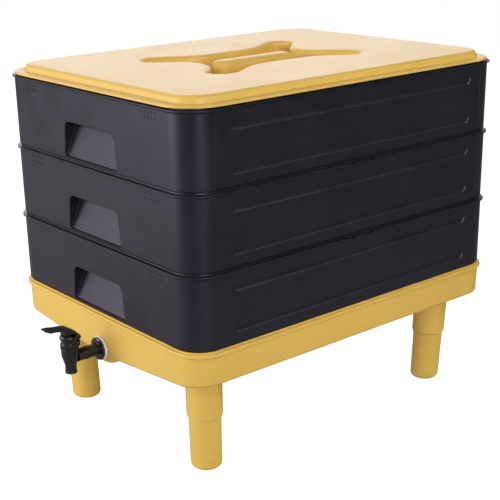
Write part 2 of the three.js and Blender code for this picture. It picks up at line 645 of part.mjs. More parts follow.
function nutBody(x) {
  const hex = alongX(revolve([[0, 0], [NUT_RADIUS, 0], [NUT_RADIUS, NUT], [0, NUT]], NUT_SIDES));
  const hole = alongX(revolve([[0, -OVERRUN], [ringBore, -OVERRUN], [ringBore, NUT + OVERRUN],
    [0, NUT + OVERRUN]], TAP_SIDES));
  return hex.subtract(hole).translate([x, 0, -TAP_DROP]);
}

function bonnetBody() {
  const low = -BARREL_TOP_DROP;
  const high = -BONNET_TOP_DROP;
  const dome = high + BONNET_DOME;
  const hole = STEM_RADIUS + STEM_CLEARANCE;
  const inner = BARREL_NECK_RADIUS + SEAT_GAP;
  const roof = low + BARREL_NECK + SEAT_GAP;
  return revolve([[inner, low], [BONNET_RADIUS, low], [BONNET_RADIUS, high - BONNET_EDGE],
    [BONNET_RADIUS - BONNET_EDGE, high], [BONNET_DOME_RADIUS, high],
    [BONNET_DOME_RADIUS, dome - BONNET_EDGE], [BONNET_DOME_RADIUS - BONNET_EDGE, dome], [hole, dome],
    [hole, roof], [inner, roof]], TAP_SIDES);
}

const pinZ = -BONNET_TOP_DROP + BONNET_DOME + PIN_LIFT;
const pinHole = (radius) => solid(new THREE.CylinderGeometry(
  radius, radius, LEVER_WIDTH + OVERRUN * 2, TAP_SIDES / 2)).translate([0, 0, pinZ]);

function stemBody() {
  const foot = -SEAT_DROP + SEAT_GAP + CUP_HEIGHT + SEAT_GAP;
  const rod = revolve([[0, foot], [STEM_RADIUS, foot], [STEM_RADIUS, pinZ], [0, pinZ]], TAP_SIDES / 2);
  const eye = solid(new THREE.CylinderGeometry(STEM_EYE_RADIUS, STEM_EYE_RADIUS, STEM_EYE_WIDTH, TAP_SIDES))
    .translate([0, 0, pinZ]);
  const neck = box(STEM_EYE_RADIUS, STEM_EYE_WIDTH, PIN_LIFT - SEAT_GAP * 2)
    .translate([0, 0, pinZ - PIN_LIFT / 2 + SEAT_GAP]);
  const clear = pinZ - PIN_LIFT + SEAT_GAP;
  const under = box((STEM_EYE_RADIUS + OVERRUN) * 2, STEM_EYE_WIDTH + OVERRUN * 2, PIN_LIFT)
    .translate([0, 0, clear - PIN_LIFT / 2]);
  return join([eye, neck]).subtract(under).add(rod).subtract(pinHole(PIN_RADIUS + SEAT_GAP));
}

function cupBody() {
  const low = -SEAT_DROP + SEAT_GAP;
  return revolve([[0, low], [CUP_RADIUS, low], [CUP_RADIUS, low + CUP_LIP],
    [CUP_RADIUS - CUP_LIP, low + CUP_HEIGHT], [0, low + CUP_HEIGHT]], TAP_SIDES / 2);
}

// Lever: paddle, hood over the stem's eye, and strap behind the bonnet, from a side profile
function leverBody() {
  const base = pinZ - PIN_LIFT + SEAT_GAP;
  const crown = pinZ + LEVER_HUB_RADIUS;
  const tip = pinZ + LEVER_TIP_RISE;
  const hood = LEVER_HUB_RADIUS;
  const strap = LEVER_STRAP_REACH;
  const under = crown - LEVER_THICKNESS;
  const high = crown + LEVER_THICKNESS;
  const [shoulderIn, shoulderUp] = LEVER_SHOULDER_SHARES;
  const profile = new THREE.Shape();
  profile.moveTo(-LEVER_REACH, tip);
  profile.quadraticCurveTo(-LEVER_REACH * LEVER_TOP_PULL_SHARE, high, -hood, high);
  profile.quadraticCurveTo(hood, high, strap - LEVER_STRAP * shoulderIn, pinZ + PIN_LIFT * shoulderUp);
  profile.quadraticCurveTo(strap, pinZ - PIN_LIFT / 2, strap, pinZ - LEVER_STRAP_DROP);
  profile.lineTo(strap - LEVER_STRAP, pinZ - LEVER_STRAP_DROP);
  profile.lineTo(strap - LEVER_STRAP, pinZ - PIN_LIFT / 2);
  profile.lineTo(hood, base);
  profile.lineTo(-hood, base);
  profile.quadraticCurveTo(-hood * HOOD_PULL_SHARE, pinZ, -hood, under - LEVER_THICKNESS * shoulderIn);
  profile.quadraticCurveTo(-LEVER_REACH * LEVER_UNDER_PULL_SHARE, under,
    -LEVER_REACH, tip - LEVER_THICKNESS / 2);
  const block = extrude(profile, LEVER_WIDTH).rotate([90, 0, 0]).translate([0, LEVER_WIDTH / 2, 0]);
  const slotWidth = STEM_EYE_WIDTH + CHEEK_GAP * 2;
  const slotTop = pinZ + STEM_EYE_RADIUS + SEAT_GAP * 2;
  const slot = box((LEVER_HUB_RADIUS + OVERRUN) * 2, slotWidth, slotTop - base + OVERRUN)
    .translate([0, 0, (slotTop + base - OVERRUN) / 2]);
  return block.subtract(slot).subtract(pinHole(PIN_RADIUS + SEAT_GAP));
}

const pinBody = () => solid(new THREE.CylinderGeometry(
  PIN_RADIUS, PIN_RADIUS, LEVER_WIDTH, TAP_SIDES / 2)).translate([0, 0, pinZ]);

const finish = (color, roughness) => new THREE.MeshStandardMaterial({ color, roughness, metalness: 0 });
const ochre = () => finish(0xdcb65e, 0.42);
const charcoal = () => finish(0x34343c, 0.5);
const black = () => finish(0x131315, 0.22);
const white = () => finish(0xe9e4da, 0.5);
const silicone = () => finish(0xd8d8d4, 0.6);

function toGeometry(body) {
  const { numProp, vertProperties, triVerts } = body.getMesh();
  const positions = new Float32Array(vertProperties.length / numProp * 3);
  for (let i = 0; i < positions.length / 3; i++) {
    for (let k = 0; k < 3; k++) positions[i * 3 + k] = vertProperties[i * numProp + k];
  }
  const geometry = new THREE.BufferGeometry();
  geometry.setAttribute('position', new THREE.BufferAttribute(positions, 3));
  geometry.setIndex(new THREE.BufferAttribute(new Uint32Array(triVerts), 1));
  geometry.computeVertexNormals();
  return geometry;
}

function addPiece(parent, name, body, material, [x, y, z] = [0, 0, 0]) {
  const mesh = new THREE.Mesh(toGeometry(body), material);
  mesh.name = name;
  mesh.position.set(x, y, z);
  parent.add(mesh);
}

// The origin is under the middle of the whole outline, lever tip to far lip
const tapX = -HALF_LENGTH - TAP_REACH;
const part = new THREE.Group();
const wormery = new THREE.Group();
wormery.position.x = -(tapX - LEVER_REACH + HALF_LENGTH + LIP_REACH) / 2;
part.add(wormery);

addPiece(wormery, 'base_tray', baseBody(), ochre(), [0, 0, BASE_RIM_Z]);
legPlaces.forEach(([sx, sy], i) => {
  const corner = ['tap_right', 'far_right', 'far_left', 'tap_left'][i];
  addPiece(wormery, `leg_socket_${corner}`, socketBody(sx, sy), ochre());
  addPiece(wormery, `leg_${corner}`, legBody(sx, sy), ochre());
});

const trayNames = ['tray_bottom', 'tray_middle', 'tray_top'];
const tray = trayBody();
for (let i = 0; i < TRAY_COUNT; i++) {
  addPiece(wormery, trayNames[i], tray, charcoal(),
    [0, 0, BASE_RIM_Z + RIM_RISE + SEAT_GAP + i * TRAY_PITCH]);
}
addPiece(wormery, 'lid', lidBody(), ochre(),
  [0, 0, BASE_RIM_Z + RIM_RISE + SEAT_GAP + TRAY_COUNT * TRAY_PITCH]);

const tap = new THREE.Group();
tap.position.set(tapX, 0, BASE_RIM_Z);
wormery.add(tap);
addPiece(tap, 'tap_body', tapBody(), black());
const washerX = TAP_REACH - TAP_PAD - SEAT_GAP - WASHER;
addPiece(tap, 'tap_outer_washer', ringAlongX(ringBore, WASHER_RADIUS, WASHER, TAP_SIDES, washerX), white());
const insideX = TAP_REACH + WALL + BASE_DRAFT + SEAT_GAP;
addPiece(tap, 'tap_inner_washer',
  ringAlongX(ringBore, INNER_WASHER_RADIUS, INNER_WASHER, TAP_SIDES, insideX), white());
addPiece(tap, 'tap_lock_nut', nutBody(insideX + INNER_WASHER + SEAT_GAP), black());
addPiece(tap, 'tap_bonnet', bonnetBody(), black());
addPiece(tap, 'tap_stem', stemBody(), white());
addPiece(tap, 'tap_seat_cup', cupBody(), silicone());
addPiece(tap, 'tap_pivot_pin', pinBody(), black());
addPiece(tap, 'tap_lever', leverBody(), black());

export default part;
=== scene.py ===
import math

import bmesh
import bpy
from mathutils import Matrix, Vector


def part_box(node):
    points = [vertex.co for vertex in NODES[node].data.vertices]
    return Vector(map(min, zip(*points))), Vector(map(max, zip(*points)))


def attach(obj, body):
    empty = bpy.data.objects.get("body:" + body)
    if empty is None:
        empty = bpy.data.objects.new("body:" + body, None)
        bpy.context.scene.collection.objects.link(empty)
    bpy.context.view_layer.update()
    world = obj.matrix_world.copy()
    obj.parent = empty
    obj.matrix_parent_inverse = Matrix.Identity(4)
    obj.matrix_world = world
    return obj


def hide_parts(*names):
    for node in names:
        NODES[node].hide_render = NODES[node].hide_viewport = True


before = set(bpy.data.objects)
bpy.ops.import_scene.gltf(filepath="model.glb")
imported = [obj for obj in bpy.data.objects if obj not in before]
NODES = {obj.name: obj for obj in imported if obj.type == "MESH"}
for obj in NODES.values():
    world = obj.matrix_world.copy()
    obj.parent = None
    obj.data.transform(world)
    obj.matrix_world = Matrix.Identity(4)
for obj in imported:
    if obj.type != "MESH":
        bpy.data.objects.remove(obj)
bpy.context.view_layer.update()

bl_info = {
    "name": "Stacking wormery",
    "version": (1, 0, 0),
    "blender": (4, 5, 0),
    "location": "View3D > Sidebar > Wormery",
    "description": "Fine surfaces, finishes and studio for a stacking worm composter",
    "category": "Object",
}

MM = 0.001
BASE_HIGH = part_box("base_tray")[1]
TRAY_LOW, TRAY_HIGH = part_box("tray_bottom")
LIP, RISE = 3.8 * MM, 0.7 * MM


class WormerySizes(bpy.types.PropertyGroup):
    """Sizes of the body that every moulding shares."""

    length: bpy.props.FloatProperty(
        name="Body length", description="Length of the tray walls, lips left out",
        default=TRAY_HIGH.x - TRAY_LOW.x - 2 * LIP, unit="LENGTH")
    width: bpy.props.FloatProperty(
        name="Body width", description="Width of the tray walls, lips left out",
        default=TRAY_HIGH.y - TRAY_LOW.y - 2 * LIP, unit="LENGTH")
    middle: bpy.props.FloatProperty(
        name="Body middle", description="Where the middle of the body lies along the long axis",
        default=(TRAY_HIGH.x + TRAY_LOW.x) / 2, unit="LENGTH")
    corner: bpy.props.FloatProperty(
        name="Corner radius", description="Radius of the body's upright corners",
        default=0.036, unit="LENGTH")
    rim: bpy.props.FloatProperty(
        name="Base rim height", description="Height of the base tray's rim plane",
        default=BASE_HIGH.z - RISE, unit="LENGTH")
    lid_corner: bpy.props.FloatProperty(
        name="Lid corner radius", description="Radius of the lid flange's corners",
        default=0.05, unit="LENGTH")
    pitch: bpy.props.FloatProperty(
        name="Tray pitch", description="Height that each tray adds to the stack",
        default=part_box("tray_middle")[0].z - TRAY_LOW.z, unit="LENGTH")
    lip: bpy.props.FloatProperty(
        name="Lip reach", description="How far each rim lip stands out from the wall",
        default=LIP, unit="LENGTH")


class WormeryColours(bpy.types.PropertyGroup):
    """Finishes, as sRGB hex values."""

    ochre: bpy.props.StringProperty(
        name="Ochre", description="Body colour of the base, legs and lid", default="E4BB58")
    charcoal: bpy.props.StringProperty(
        name="Charcoal", description="Body colour of the working trays", default="1B1B22")
    black: bpy.props.StringProperty(name="Black", description="Colour of the tap", default="121214")
    white: bpy.props.StringProperty(
        name="White", description="Colour of the tap's washers", default="E6E1DC")
    stem: bpy.props.StringProperty(
        name="Stem", description="Colour of the tap's stem", default="E9E4DA")


# Shapes. Lengths are millimetres until finish_piece scales a piece to metres.

# Segments in each corner of a rounded rectangle, and degrees from which an edge is shaded sharp
CORNER_STEPS, SHARP = 12, 32


def filleted(points, steps=3):
    """Polyline of (x, y) or (x, y, radius) with its corners rounded."""
    out = []
    for i, p in enumerate(points):
        if len(p) < 3 or i in (0, len(points) - 1):
            out.append((p[0], p[1]))
            continue
        a, b, c = (Vector(q[:2]) for q in (points[i - 1], p, points[i + 1]))
        to_a, to_c = (a - b), (c - b)
        half = to_a.angle(to_c) / 2
        if half > math.radians(89.5):
            out.append((p[0], p[1]))
            continue
        reach = min(p[2] / math.tan(half), to_a.length * 0.49, to_c.length * 0.49)
        centre = b + (to_a.normalized() + to_c.normalized()).normalized() * (reach / math.cos(half))
        first, last = b + to_a.normalized() * reach - centre, b + to_c.normalized() * reach - centre
        turn = first.angle(last)
        for k in range(steps + 1):
            t = k / steps
            v = (first * math.sin((1 - t) * turn) + last * math.sin(t * turn)) / math.sin(turn)
            out.append(tuple(centre + v))
    return out


def closed_fillet(points, steps=3):
    """Closed outline of (x, y, radius) with every corner rounded."""
    return filleted([points[-1], *points, points[0]], steps)[1:-1]


def rounded_rectangle(half_x, half_y, radius, groove=0.0):
    """Outline of a rounded rectangle, anticlockwise.

    A groove of some depth is drawn into the long sides beside each corner.
    """
    points = []
    for sx, sy, start in ((1, 1, 0), (-1, 1, 1), (-1, -1, 2), (1, -1, 3)):
        arc = []
        for i in range(CORNER_STEPS + 1):
            a = (start + i / CORNER_STEPS) * math.pi / 2
            arc.append((sx * (half_x - radius) + radius * math.cos(a),
                        sy * (half_y - radius) + radius * math.sin(a)))
        if groove:
            side = [(sx * (half_x - radius - along), sy * (half_y - depth))
                    for along, depth in ((groove * 1.5, groove), (groove * 3, 0))]
            arc = arc + side if sx == sy else side[::-1] + arc
        points += arc
    return points


def new_object(name, bm):
    """Object at the origin from a bmesh, which is then freed."""
    bmesh.ops.recalc_face_normals(bm, faces=bm.faces)
    mesh = bpy.data.meshes.new(name)
    bm.to_mesh(mesh)
    bm.free()
    obj = bpy.data.objects.new(name, mesh)
    bpy.context.scene.collection.objects.link(obj)
    return obj


def loft(name, rings):
    """Closed solid through rings of equal count, each a list of (x, y, z)."""
    bm = bmesh.new()
    rows = [[bm.verts.new(p) for p in ring] for ring in rings]
    count = len(rings[0])
    for low, high in zip(rows, rows[1:]):
        for i in range(count):
            j = (i + 1) % count
            bm.faces.new((low[i], low[j], high[j], high[i]))
    bm.faces.new(rows[0][::-1])
    bm.faces.new(rows[-1])
    return new_object(name, bm)


def stack(name, pairs):
    """Loft of flat outlines, given as (outline, z)."""
    return loft(name, [[(x, y, z) for x, y in outline] for outline, z in pairs])


def revolve(name, profile, steps=40, closed=False):
    """Solid turned about Z from a profile of (radius, z) that ends on the axis or closes on itself."""
    bm = bmesh.new()
    rows = []
    for r, z in profile:
        if r < 1e-6:
            rows.append([bm.verts.new((0, 0, z))])
        else:
            rows.append([bm.verts.new((r * math.cos(2 * math.pi * i / steps),
                                       r * math.sin(2 * math.pi * i / steps), z)) for i in range(steps)])
    for low, high in zip(rows, rows[1:] + rows[:1] if closed else rows[1:]):
        for i in range(steps):
            j = (i + 1) % steps
            if len(low) == 1 and len(high) == 1:
                continue
            if len(low) == 1:
                bm.faces.new((low[0], high[j], high[i]))
            elif len(high) == 1:
                bm.faces.new((low[i], low[j], high[0]))
            else:
                bm.faces.new((low[i], low[j], high[j], high[i]))
    return new_object(name, bm)


def hull(name, points):
    """Convex solid round some points."""
    bm = bmesh.new()
    for p in points:
        bm.verts.new(p)
    made = bmesh.ops.convex_hull(bm, input=bm.verts)
    loose = [g for g in made["geom_interior"] + made["geom_unused"] if isinstance(g, bmesh.types.BMVert)]
    bmesh.ops.delete(bm, geom=list(set(loose)), context="VERTS")
    bmesh.ops.dissolve_limit(bm, angle_limit=math.radians(0.3), verts=bm.verts, edges=bm.edges)
    return new_object(name, bm)


def block(name, size, middle):
    """Cutter with square edges."""
    bm = bmesh.new()
    bmesh.ops.create_cube(bm, size=1, matrix=Matrix.Translation(middle) @ Matrix.Diagonal((*size, 1)))
    return new_object(name, bm)


def placed(obj, matrix):
    """The object's mesh moved by a matrix."""
    obj.data.transform(matrix)
    if matrix.determinant() < 0:
        obj.data.flip_normals()
    return obj


def half_turned(obj):
    """A copy turned half way round Z."""
    twin = obj.copy()
    twin.data = obj.data.copy()
    bpy.context.scene.collection.objects.link(twin)
    return placed(twin, Matrix.Rotation(math.pi, 4, "Z"))


def settle(obj):
    """Turns the object's modifiers into its plain mesh."""
    bpy.context.view_layer.update()
    mesh = bpy.data.meshes.new_from_object(obj.evaluated_get(bpy.context.evaluated_depsgraph_get()))
    obj.modifiers.clear()
    obj.data = mesh
    return obj


def combine(body, operation, *tools):
    """Joins or cuts the body by closed tools, which are then removed."""
    for tool in tools:
        modifier = body.modifiers.new("Shape", "BOOLEAN")
        modifier.solver = "EXACT"
        modifier.operation = operation
        modifier.object = tool
        settle(body)
        bpy.data.objects.remove(tool)
    return body


def join(body, *tools):
    return combine(body, "UNION", *tools)


def cut(body, *tools):
    return combine(body, "DIFFERENCE", *tools)


def finish_piece(obj, body, nodes, material, move):
    """Scales a shape to metres, moves it, smooths its shading and hands it to its CAD body."""
    obj.data.transform(move @ Matrix.Scale(MM, 4))
    obj.data.materials.clear()
    obj.data.materials.append(material)
    obj.data.shade_smooth()
    obj.data.set_sharp_from_angle(angle=math.radians(SHARP))
    weighted = obj.modifiers.new("Even shading", "WEIGHTED_NORMAL")
    weighted.keep_sharp = True
    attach(obj, body)
    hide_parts(*nodes)
    return obj


# Materials

def linear(hex_value):
    """Linear colour of an sRGB hex value."""
    channels = [int(hex_value[i:i + 2], 16) / 255 for i in (0, 2, 4)]
    return (*[c / 12.92 if c <= 0.04045 else ((c + 0.055) / 1.055) ** 2.4 for c in channels], 1)


def shaded(hex_value, factor):
    """The linear colour made lighter or darker by a factor."""
    r, g, b, _ = linear(hex_value)
    return (min(r * factor, 1), min(g * factor, 1), min(b * factor, 1), 1)


def add(tree, kind, settings=None, **links):
    """Adds a node. Settings are attributes or input values, links are input names to sockets."""
    node = tree.nodes.new(kind)
    for name, value in (settings or {}).items():
        if hasattr(node, name) and name not in node.inputs:
            setattr(node, name, value)
        else:
            node.inputs[name].default_value = value
    for name, socket in links.items():
        tree.links.new(socket, node.inputs[name.replace("_", " ")])
    return node


def moulded(name, hex_value, roughness, grain_mm, grain_depth,
            patch=0.02, streak=0.0, gleam=(1, 1, 1), ior=1.49):
    """Injection-moulded plastic: an even colour with faint patches, draw marks and a fine grain."""
    material = bpy.data.materials.new(name)
    material.use_nodes = True
    tree = material.node_tree
    shader = tree.nodes["Principled BSDF"]
    place = add(tree, "ShaderNodeTexCoord").outputs["Object"]
    # Patches some 45 mm across, from uneven cooling
    cloud = add(tree, "ShaderNodeTexNoise", {"Scale": 1 / (45 * MM), "Detail": 2.0}, Vector=place)
    # Upright marks some 5 mm apart, where the wall slid off the mould
    drawn = add(tree, "ShaderNodeMapping", {"Scale": (1, 1, 0.05)}, Vector=place)
    marks = add(tree, "ShaderNodeTexNoise", {"Scale": 1 / (5 * MM), "Detail": 3.0},
                Vector=drawn.outputs["Vector"])
    uneven = add(tree, "ShaderNodeMath", {"operation": "MULTIPLY_ADD"})
    tree.links.new(marks.outputs["Fac"], uneven.inputs[0])
    uneven.inputs[1].default_value = streak
    tree.links.new(cloud.outputs["Fac"], uneven.inputs[2])
    middle = 0.5 + streak / 2
    tint = add(tree, "ShaderNodeValToRGB", None, Fac=uneven.outputs["Value"])
    for stop, side in zip(tint.color_ramp.elements, (-1, 1)):
        stop.position = middle + side * 0.2
        stop.color = shaded(hex_value, 1 + side * patch)
    tree.links.new(tint.outputs["Color"], shader.inputs["Base Color"])
    # The real grain is a few tenths of a millimetre; it is drawn a little coarser so that it shows
    grain = add(tree, "ShaderNodeTexNoise", {"Scale": 1 / (grain_mm * MM), "Detail": 3.0}, Vector=place)
    bump = add(tree, "ShaderNodeBump", {"Strength": 0.6, "Distance": grain_depth * MM},
               Height=grain.outputs["Fac"])
    tree.links.new(bump.outputs["Normal"], shader.inputs["Normal"])
    rub = add(tree, "ShaderNodeMapRange", {"From Min": middle - 0.3, "From Max": middle + 0.3,
                                           "To Min": roughness - 0.04 - streak * 0.1,
                                           "To Max": roughness + 0.04 + streak * 0.1},
              Value=uneven.outputs["Value"])
    tree.links.new(rub.outputs["Result"], shader.inputs["Roughness"])
    shader.inputs["IOR"].default_value = ior
    shader.inputs["Specular Tint"].default_value = (*gleam, 1)
    return material


def palette():
    """The finishes of this object, made once."""
    colours = bpy.context.scene.wormery_colours
    wanted = {
        # Satin polypropylene, pigmented ochre: pale where it mirrors the background at a low angle
        "moulded_polypropylene_ochre": (colours.ochre, 0.40, 0.9, 0.02),
        # Satin polypropylene, charcoal: nearly black, with a bluish gleam and faint upright marks
        "moulded_polypropylene_charcoal": (
            colours.charcoal, 0.38, 0.9, 0.015, 0.05, 0.5, (0.8, 0.76, 1), 1.45),
        # Polished acetal, nearly black: narrow bright lines along the tap's rounded edges
        "polished_acetal_black": (colours.black, 0.22, 1.4, 0.008),
        # Soft silicone, off-white: a matt pale ring behind the tap
        "silicone_rubber_white": (colours.white, 0.55, 0.8, 0.01),
        # Natural acetal, ivory: a satin rod, mostly hidden under the lever
        "natural_acetal": (colours.stem, 0.35, 0.8, 0.008),
    }
    return {name: bpy.data.materials.get(name) or moulded(name, *values)
            for name, values in wanted.items()}


def in_place(lift=0.0):
    """Matrix from the body's own frame, rim or resting edge at zero, to the row frame."""
    sizes = bpy.context.scene.wormery_sizes
    return Matrix.Translation((sizes.middle, 0, lift))


def body_outline(offset, groove=0.0):
    """Outline of the body, moved outward by an offset."""
    s = bpy.context.scene.wormery_sizes
    return rounded_rectangle(s.length / MM / 2 + offset, s.width / MM / 2 + offset,
                             s.corner / MM + offset, groove)


def body_stack(name, pairs, groove=0.0):
    """Body-shaped loft from (offset, z) pairs."""
    return stack(name, [(body_outline(offset, groove), z) for offset, z in pairs])


# Trays

# Wall thickness, how far a tray widens toward its rim, and a step for overlaps and tapers
WALL, DRAFT, EDGE = 2.6, 0.55, 1.0
NEST_INSET, NEST_DEPTH, NEST_WALL, TRAY_FLOOR = 3.8, 10.0, 2.4, 2.5
SEAT_GAP, RIM_RISE = 0.3, RISE / MM
CHANNEL_LENGTH, CHANNEL_HEIGHT = 413.0, 15.0
CHANNEL_LIFTS = (22.5, 74.0)
# Depth of the upright groove where two parts of the mould meet
MOULD_LINE = 0.3
# Hand hold: its foot and height, its depth there, and how much deeper it is at the top
HOLD_FOOT, HOLD_HEIGHT, HOLD_DEPTH, HOLD_LEAN = 3.6, 45.0, 4, 14
# Notch of each clip in the long seams, and its distance from the middle
CLIP_NOTCH, CLIP_REACH = (13, 7.5, 3.4), 17
# Spacing of the drain slots in the floor
SLOT_STEP_X, SLOT_STEP_Y = 84.0, 62.0


def lip_profile(wall_offset, top, lip):
    """Rim lip as (offset, z), from the wall below it to the seat that the next moulding rests on."""
    return filleted([
        (wall_offset, top - 6.4), (wall_offset, top - 5.2, 0.8), (lip, top - 3.7, 0.45),
        (lip, top - 1.9, 0.5), (-1.2, top - 1.1, 0.3), (-1.4, top)], 3)


def hold_outline(grow):
    """Outline of the hand hold as (y, z)."""
    foot, head = 58 + grow, 53.5 + grow
    low, high = HOLD_FOOT - grow, HOLD_FOOT + HOLD_HEIGHT + grow
    return closed_fillet([(foot, low, 2.5 + grow), (head, high, 9 + grow),
                          (-head, high, 9 + grow), (-foot, low, 2.5 + grow)], 6)


def hold_form(name, grow, outside, roll):
    """Hand hold through the end wall, its edge rolled where a roll is given.

    It ends in a rounded back that slopes in toward the top.
    """
    s = bpy.context.scene.wormery_sizes
    face = -s.length / MM / 2

    def ring(extra, depth=None, short=0.0):
        points = []
        for (y, z), (_, plain) in zip(hold_outline(grow + extra), hold_outline(grow)):
            slope = HOLD_DEPTH + (plain - HOLD_FOOT) / HOLD_HEIGHT * HOLD_LEAN + grow - short
            points.append((face + (slope if depth is None else depth), y, z))
        return points
    rings = [ring(roll, -outside), ring(roll, -0.25)] if roll else [ring(0, -outside)]
    if roll:
        rings += [ring(roll * (1 - math.sin(a)), roll * (1 - math.cos(a)) - 0.25)
                  for a in (math.pi / 6, math.pi / 3, math.pi / 2)]
    rings += [ring(0, None, 1.6), ring(-0.22, None, 0.8), ring(-0.8, None, 0.22), ring(-1.6, None, 0)]
    return loft(name, rings)


def stadium(length, height, steps=8):
    """Outline with round ends."""
    r, points = height / 2, []
    for side in (1, -1):
        for i in range(steps + 1):
            a = (i / steps - 0.5) * math.pi + (0 if side > 0 else math.pi)
            points.append((side * (length / 2 - r) + r * math.cos(a), r * math.sin(a)))
    return points


def channel(name, lift, rings):
    """Stadium-shaped loft set in the long wall, from (offset, depth) pairs."""
    s = bpy.context.scene.wormery_sizes
    wall = -s.width / MM / 2
    return loft(name, [[(x, wall + depth, z + lift)
                        for x, z in stadium(CHANNEL_LENGTH + 2 * offset, CHANNEL_HEIGHT + 2 * offset)]
                       for offset, depth in rings])


def perforations():
    """Geometry Nodes tree that cuts a grid of rounded slots through a moulding."""
    tree = bpy.data.node_groups.new("Rounded slots", "GeometryNodeTree")
    face = tree.interface
    face.new_socket("Geometry", in_out="INPUT", socket_type="NodeSocketGeometry")
    for name, kind, value in (
            ("Slot length", "NodeSocketFloat", 44.0), ("Slot width", "NodeSocketFloat", 6.0),
            ("End radius", "NodeSocketFloat", 3.0), ("Depth", "NodeSocketFloat", 8.0),
            ("Columns", "NodeSocketInt", 5), ("Rows", "NodeSocketInt", 5),
            ("Column step", "NodeSocketVector", (SLOT_STEP_X, 0, 0)),
            ("Row step", "NodeSocketVector", (0, SLOT_STEP_Y, 0)),
            ("First slot", "NodeSocketVector", (0, 0, 0)), ("Turn", "NodeSocketVector", (0, 0, 0))):
        face.new_socket(name, in_out="INPUT", socket_type=kind).default_value = value
    face.new_socket("Material", in_out="INPUT", socket_type="NodeSocketMaterial")
    face.new_socket("Geometry", in_out="OUTPUT", socket_type="NodeSocketGeometry")
    given = add(tree, "NodeGroupInput").outputs
    outline = add(tree, "GeometryNodeCurvePrimitiveQuadrilateral", None,
                  Width=given["Slot length"], Height=given["Slot width"])
    rounded = add(tree, "GeometryNodeFilletCurve", {"mode": "POLY", "Count": 4},
                  Curve=outline.outputs["Curve"], Radius=given["End radius"])
    sheet = add(tree, "GeometryNodeFillCurve", {"mode": "NGONS"}, Curve=rounded.outputs["Curve"])
    up = add(tree, "ShaderNodeCombineXYZ", None, Z=given["Depth"])
    raised = add(tree, "GeometryNodeExtrudeMesh", {"mode": "FACES"}, Mesh=sheet.outputs["Mesh"])
    tree.links.new(up.outputs["Vector"], raised.inputs["Offset"])
    foot = add(tree, "GeometryNodeFlipFaces", None, Mesh=sheet.outputs["Mesh"])
    both = add(tree, "GeometryNodeJoinGeometry", None, Geometry=raised.outputs["Mesh"])
    tree.links.new(foot.outputs["Mesh"], both.inputs["Geometry"])
    slot = add(tree, "GeometryNodeMergeByDistance", {"Distance": 0.001},
               Geometry=both.outputs["Geometry"])
    down = add(tree, "ShaderNodeVectorMath", {"operation": "MULTIPLY"})
    tree.links.new(up.outputs["Vector"], down.inputs[0])
    down.inputs[1].default_value = (0, 0, -0.5)
    centred = add(tree, "GeometryNodeSetPosition", None, Geometry=slot.outputs["Geometry"],
                  Offset=down.outputs["Vector"])
    row = add(tree, "GeometryNodeMeshLine", None, Count=given["Columns"], Offset=given["Column step"])
    tree.links.new(given["First slot"], row.inputs["Start Location"])
    side = add(tree, "GeometryNodeMeshLine", None, Count=given["Rows"], Offset=given["Row step"])
    grid = add(tree, "GeometryNodeInstanceOnPoints", None,
               Points=row.outputs["Mesh"], Instance=side.outputs["Mesh"])
    flat = add(tree, "GeometryNodeRealizeInstances", None, Geometry=grid.outputs["Instances"])
    slots = add(tree, "GeometryNodeInstanceOnPoints", None, Points=flat.outputs["Geometry"],
                Instance=centred.outputs["Geometry"], Rotation=given["Turn"])
    solid = add(tree, "GeometryNodeRealizeInstances", None, Geometry=slots.outputs["Instances"])
    pierced = add(tree, "GeometryNodeMeshBoolean", {"operation": "DIFFERENCE"})
    tree.links.new(given["Geometry"], pierced.inputs["Mesh 1"])
    tree.links.new(solid.outputs["Geometry"], pierced.inputs["Mesh 2"])
    whole = add(tree, "GeometryNodeRealizeInstances", None, Geometry=pierced.outputs["Mesh"])
    dressed = add(tree, "GeometryNodeSetMaterial", None, Geometry=whole.outputs["Geometry"],
                  Material=given["Material"])
    add(tree, "NodeGroupOutput", None, Geometry=dressed.outputs["Geometry"])
    return tree


def pierce(obj, tree, material, **values):
    """Runs the slot tree on a moulding and leaves a plain mesh."""
    modifier = obj.modifiers.new("Slots", "NODES")
    modifier.node_group = tree
    identifiers = {item.name: item.identifier for item in tree.interface.items_tree
                   if item.item_type == "SOCKET" and item.in_out == "INPUT"}
    for name, value in values.items():
        modifier[identifiers[name.replace("_", " ")]] = value
    modifier[identifiers["Material"]] = material
    return settle(obj)


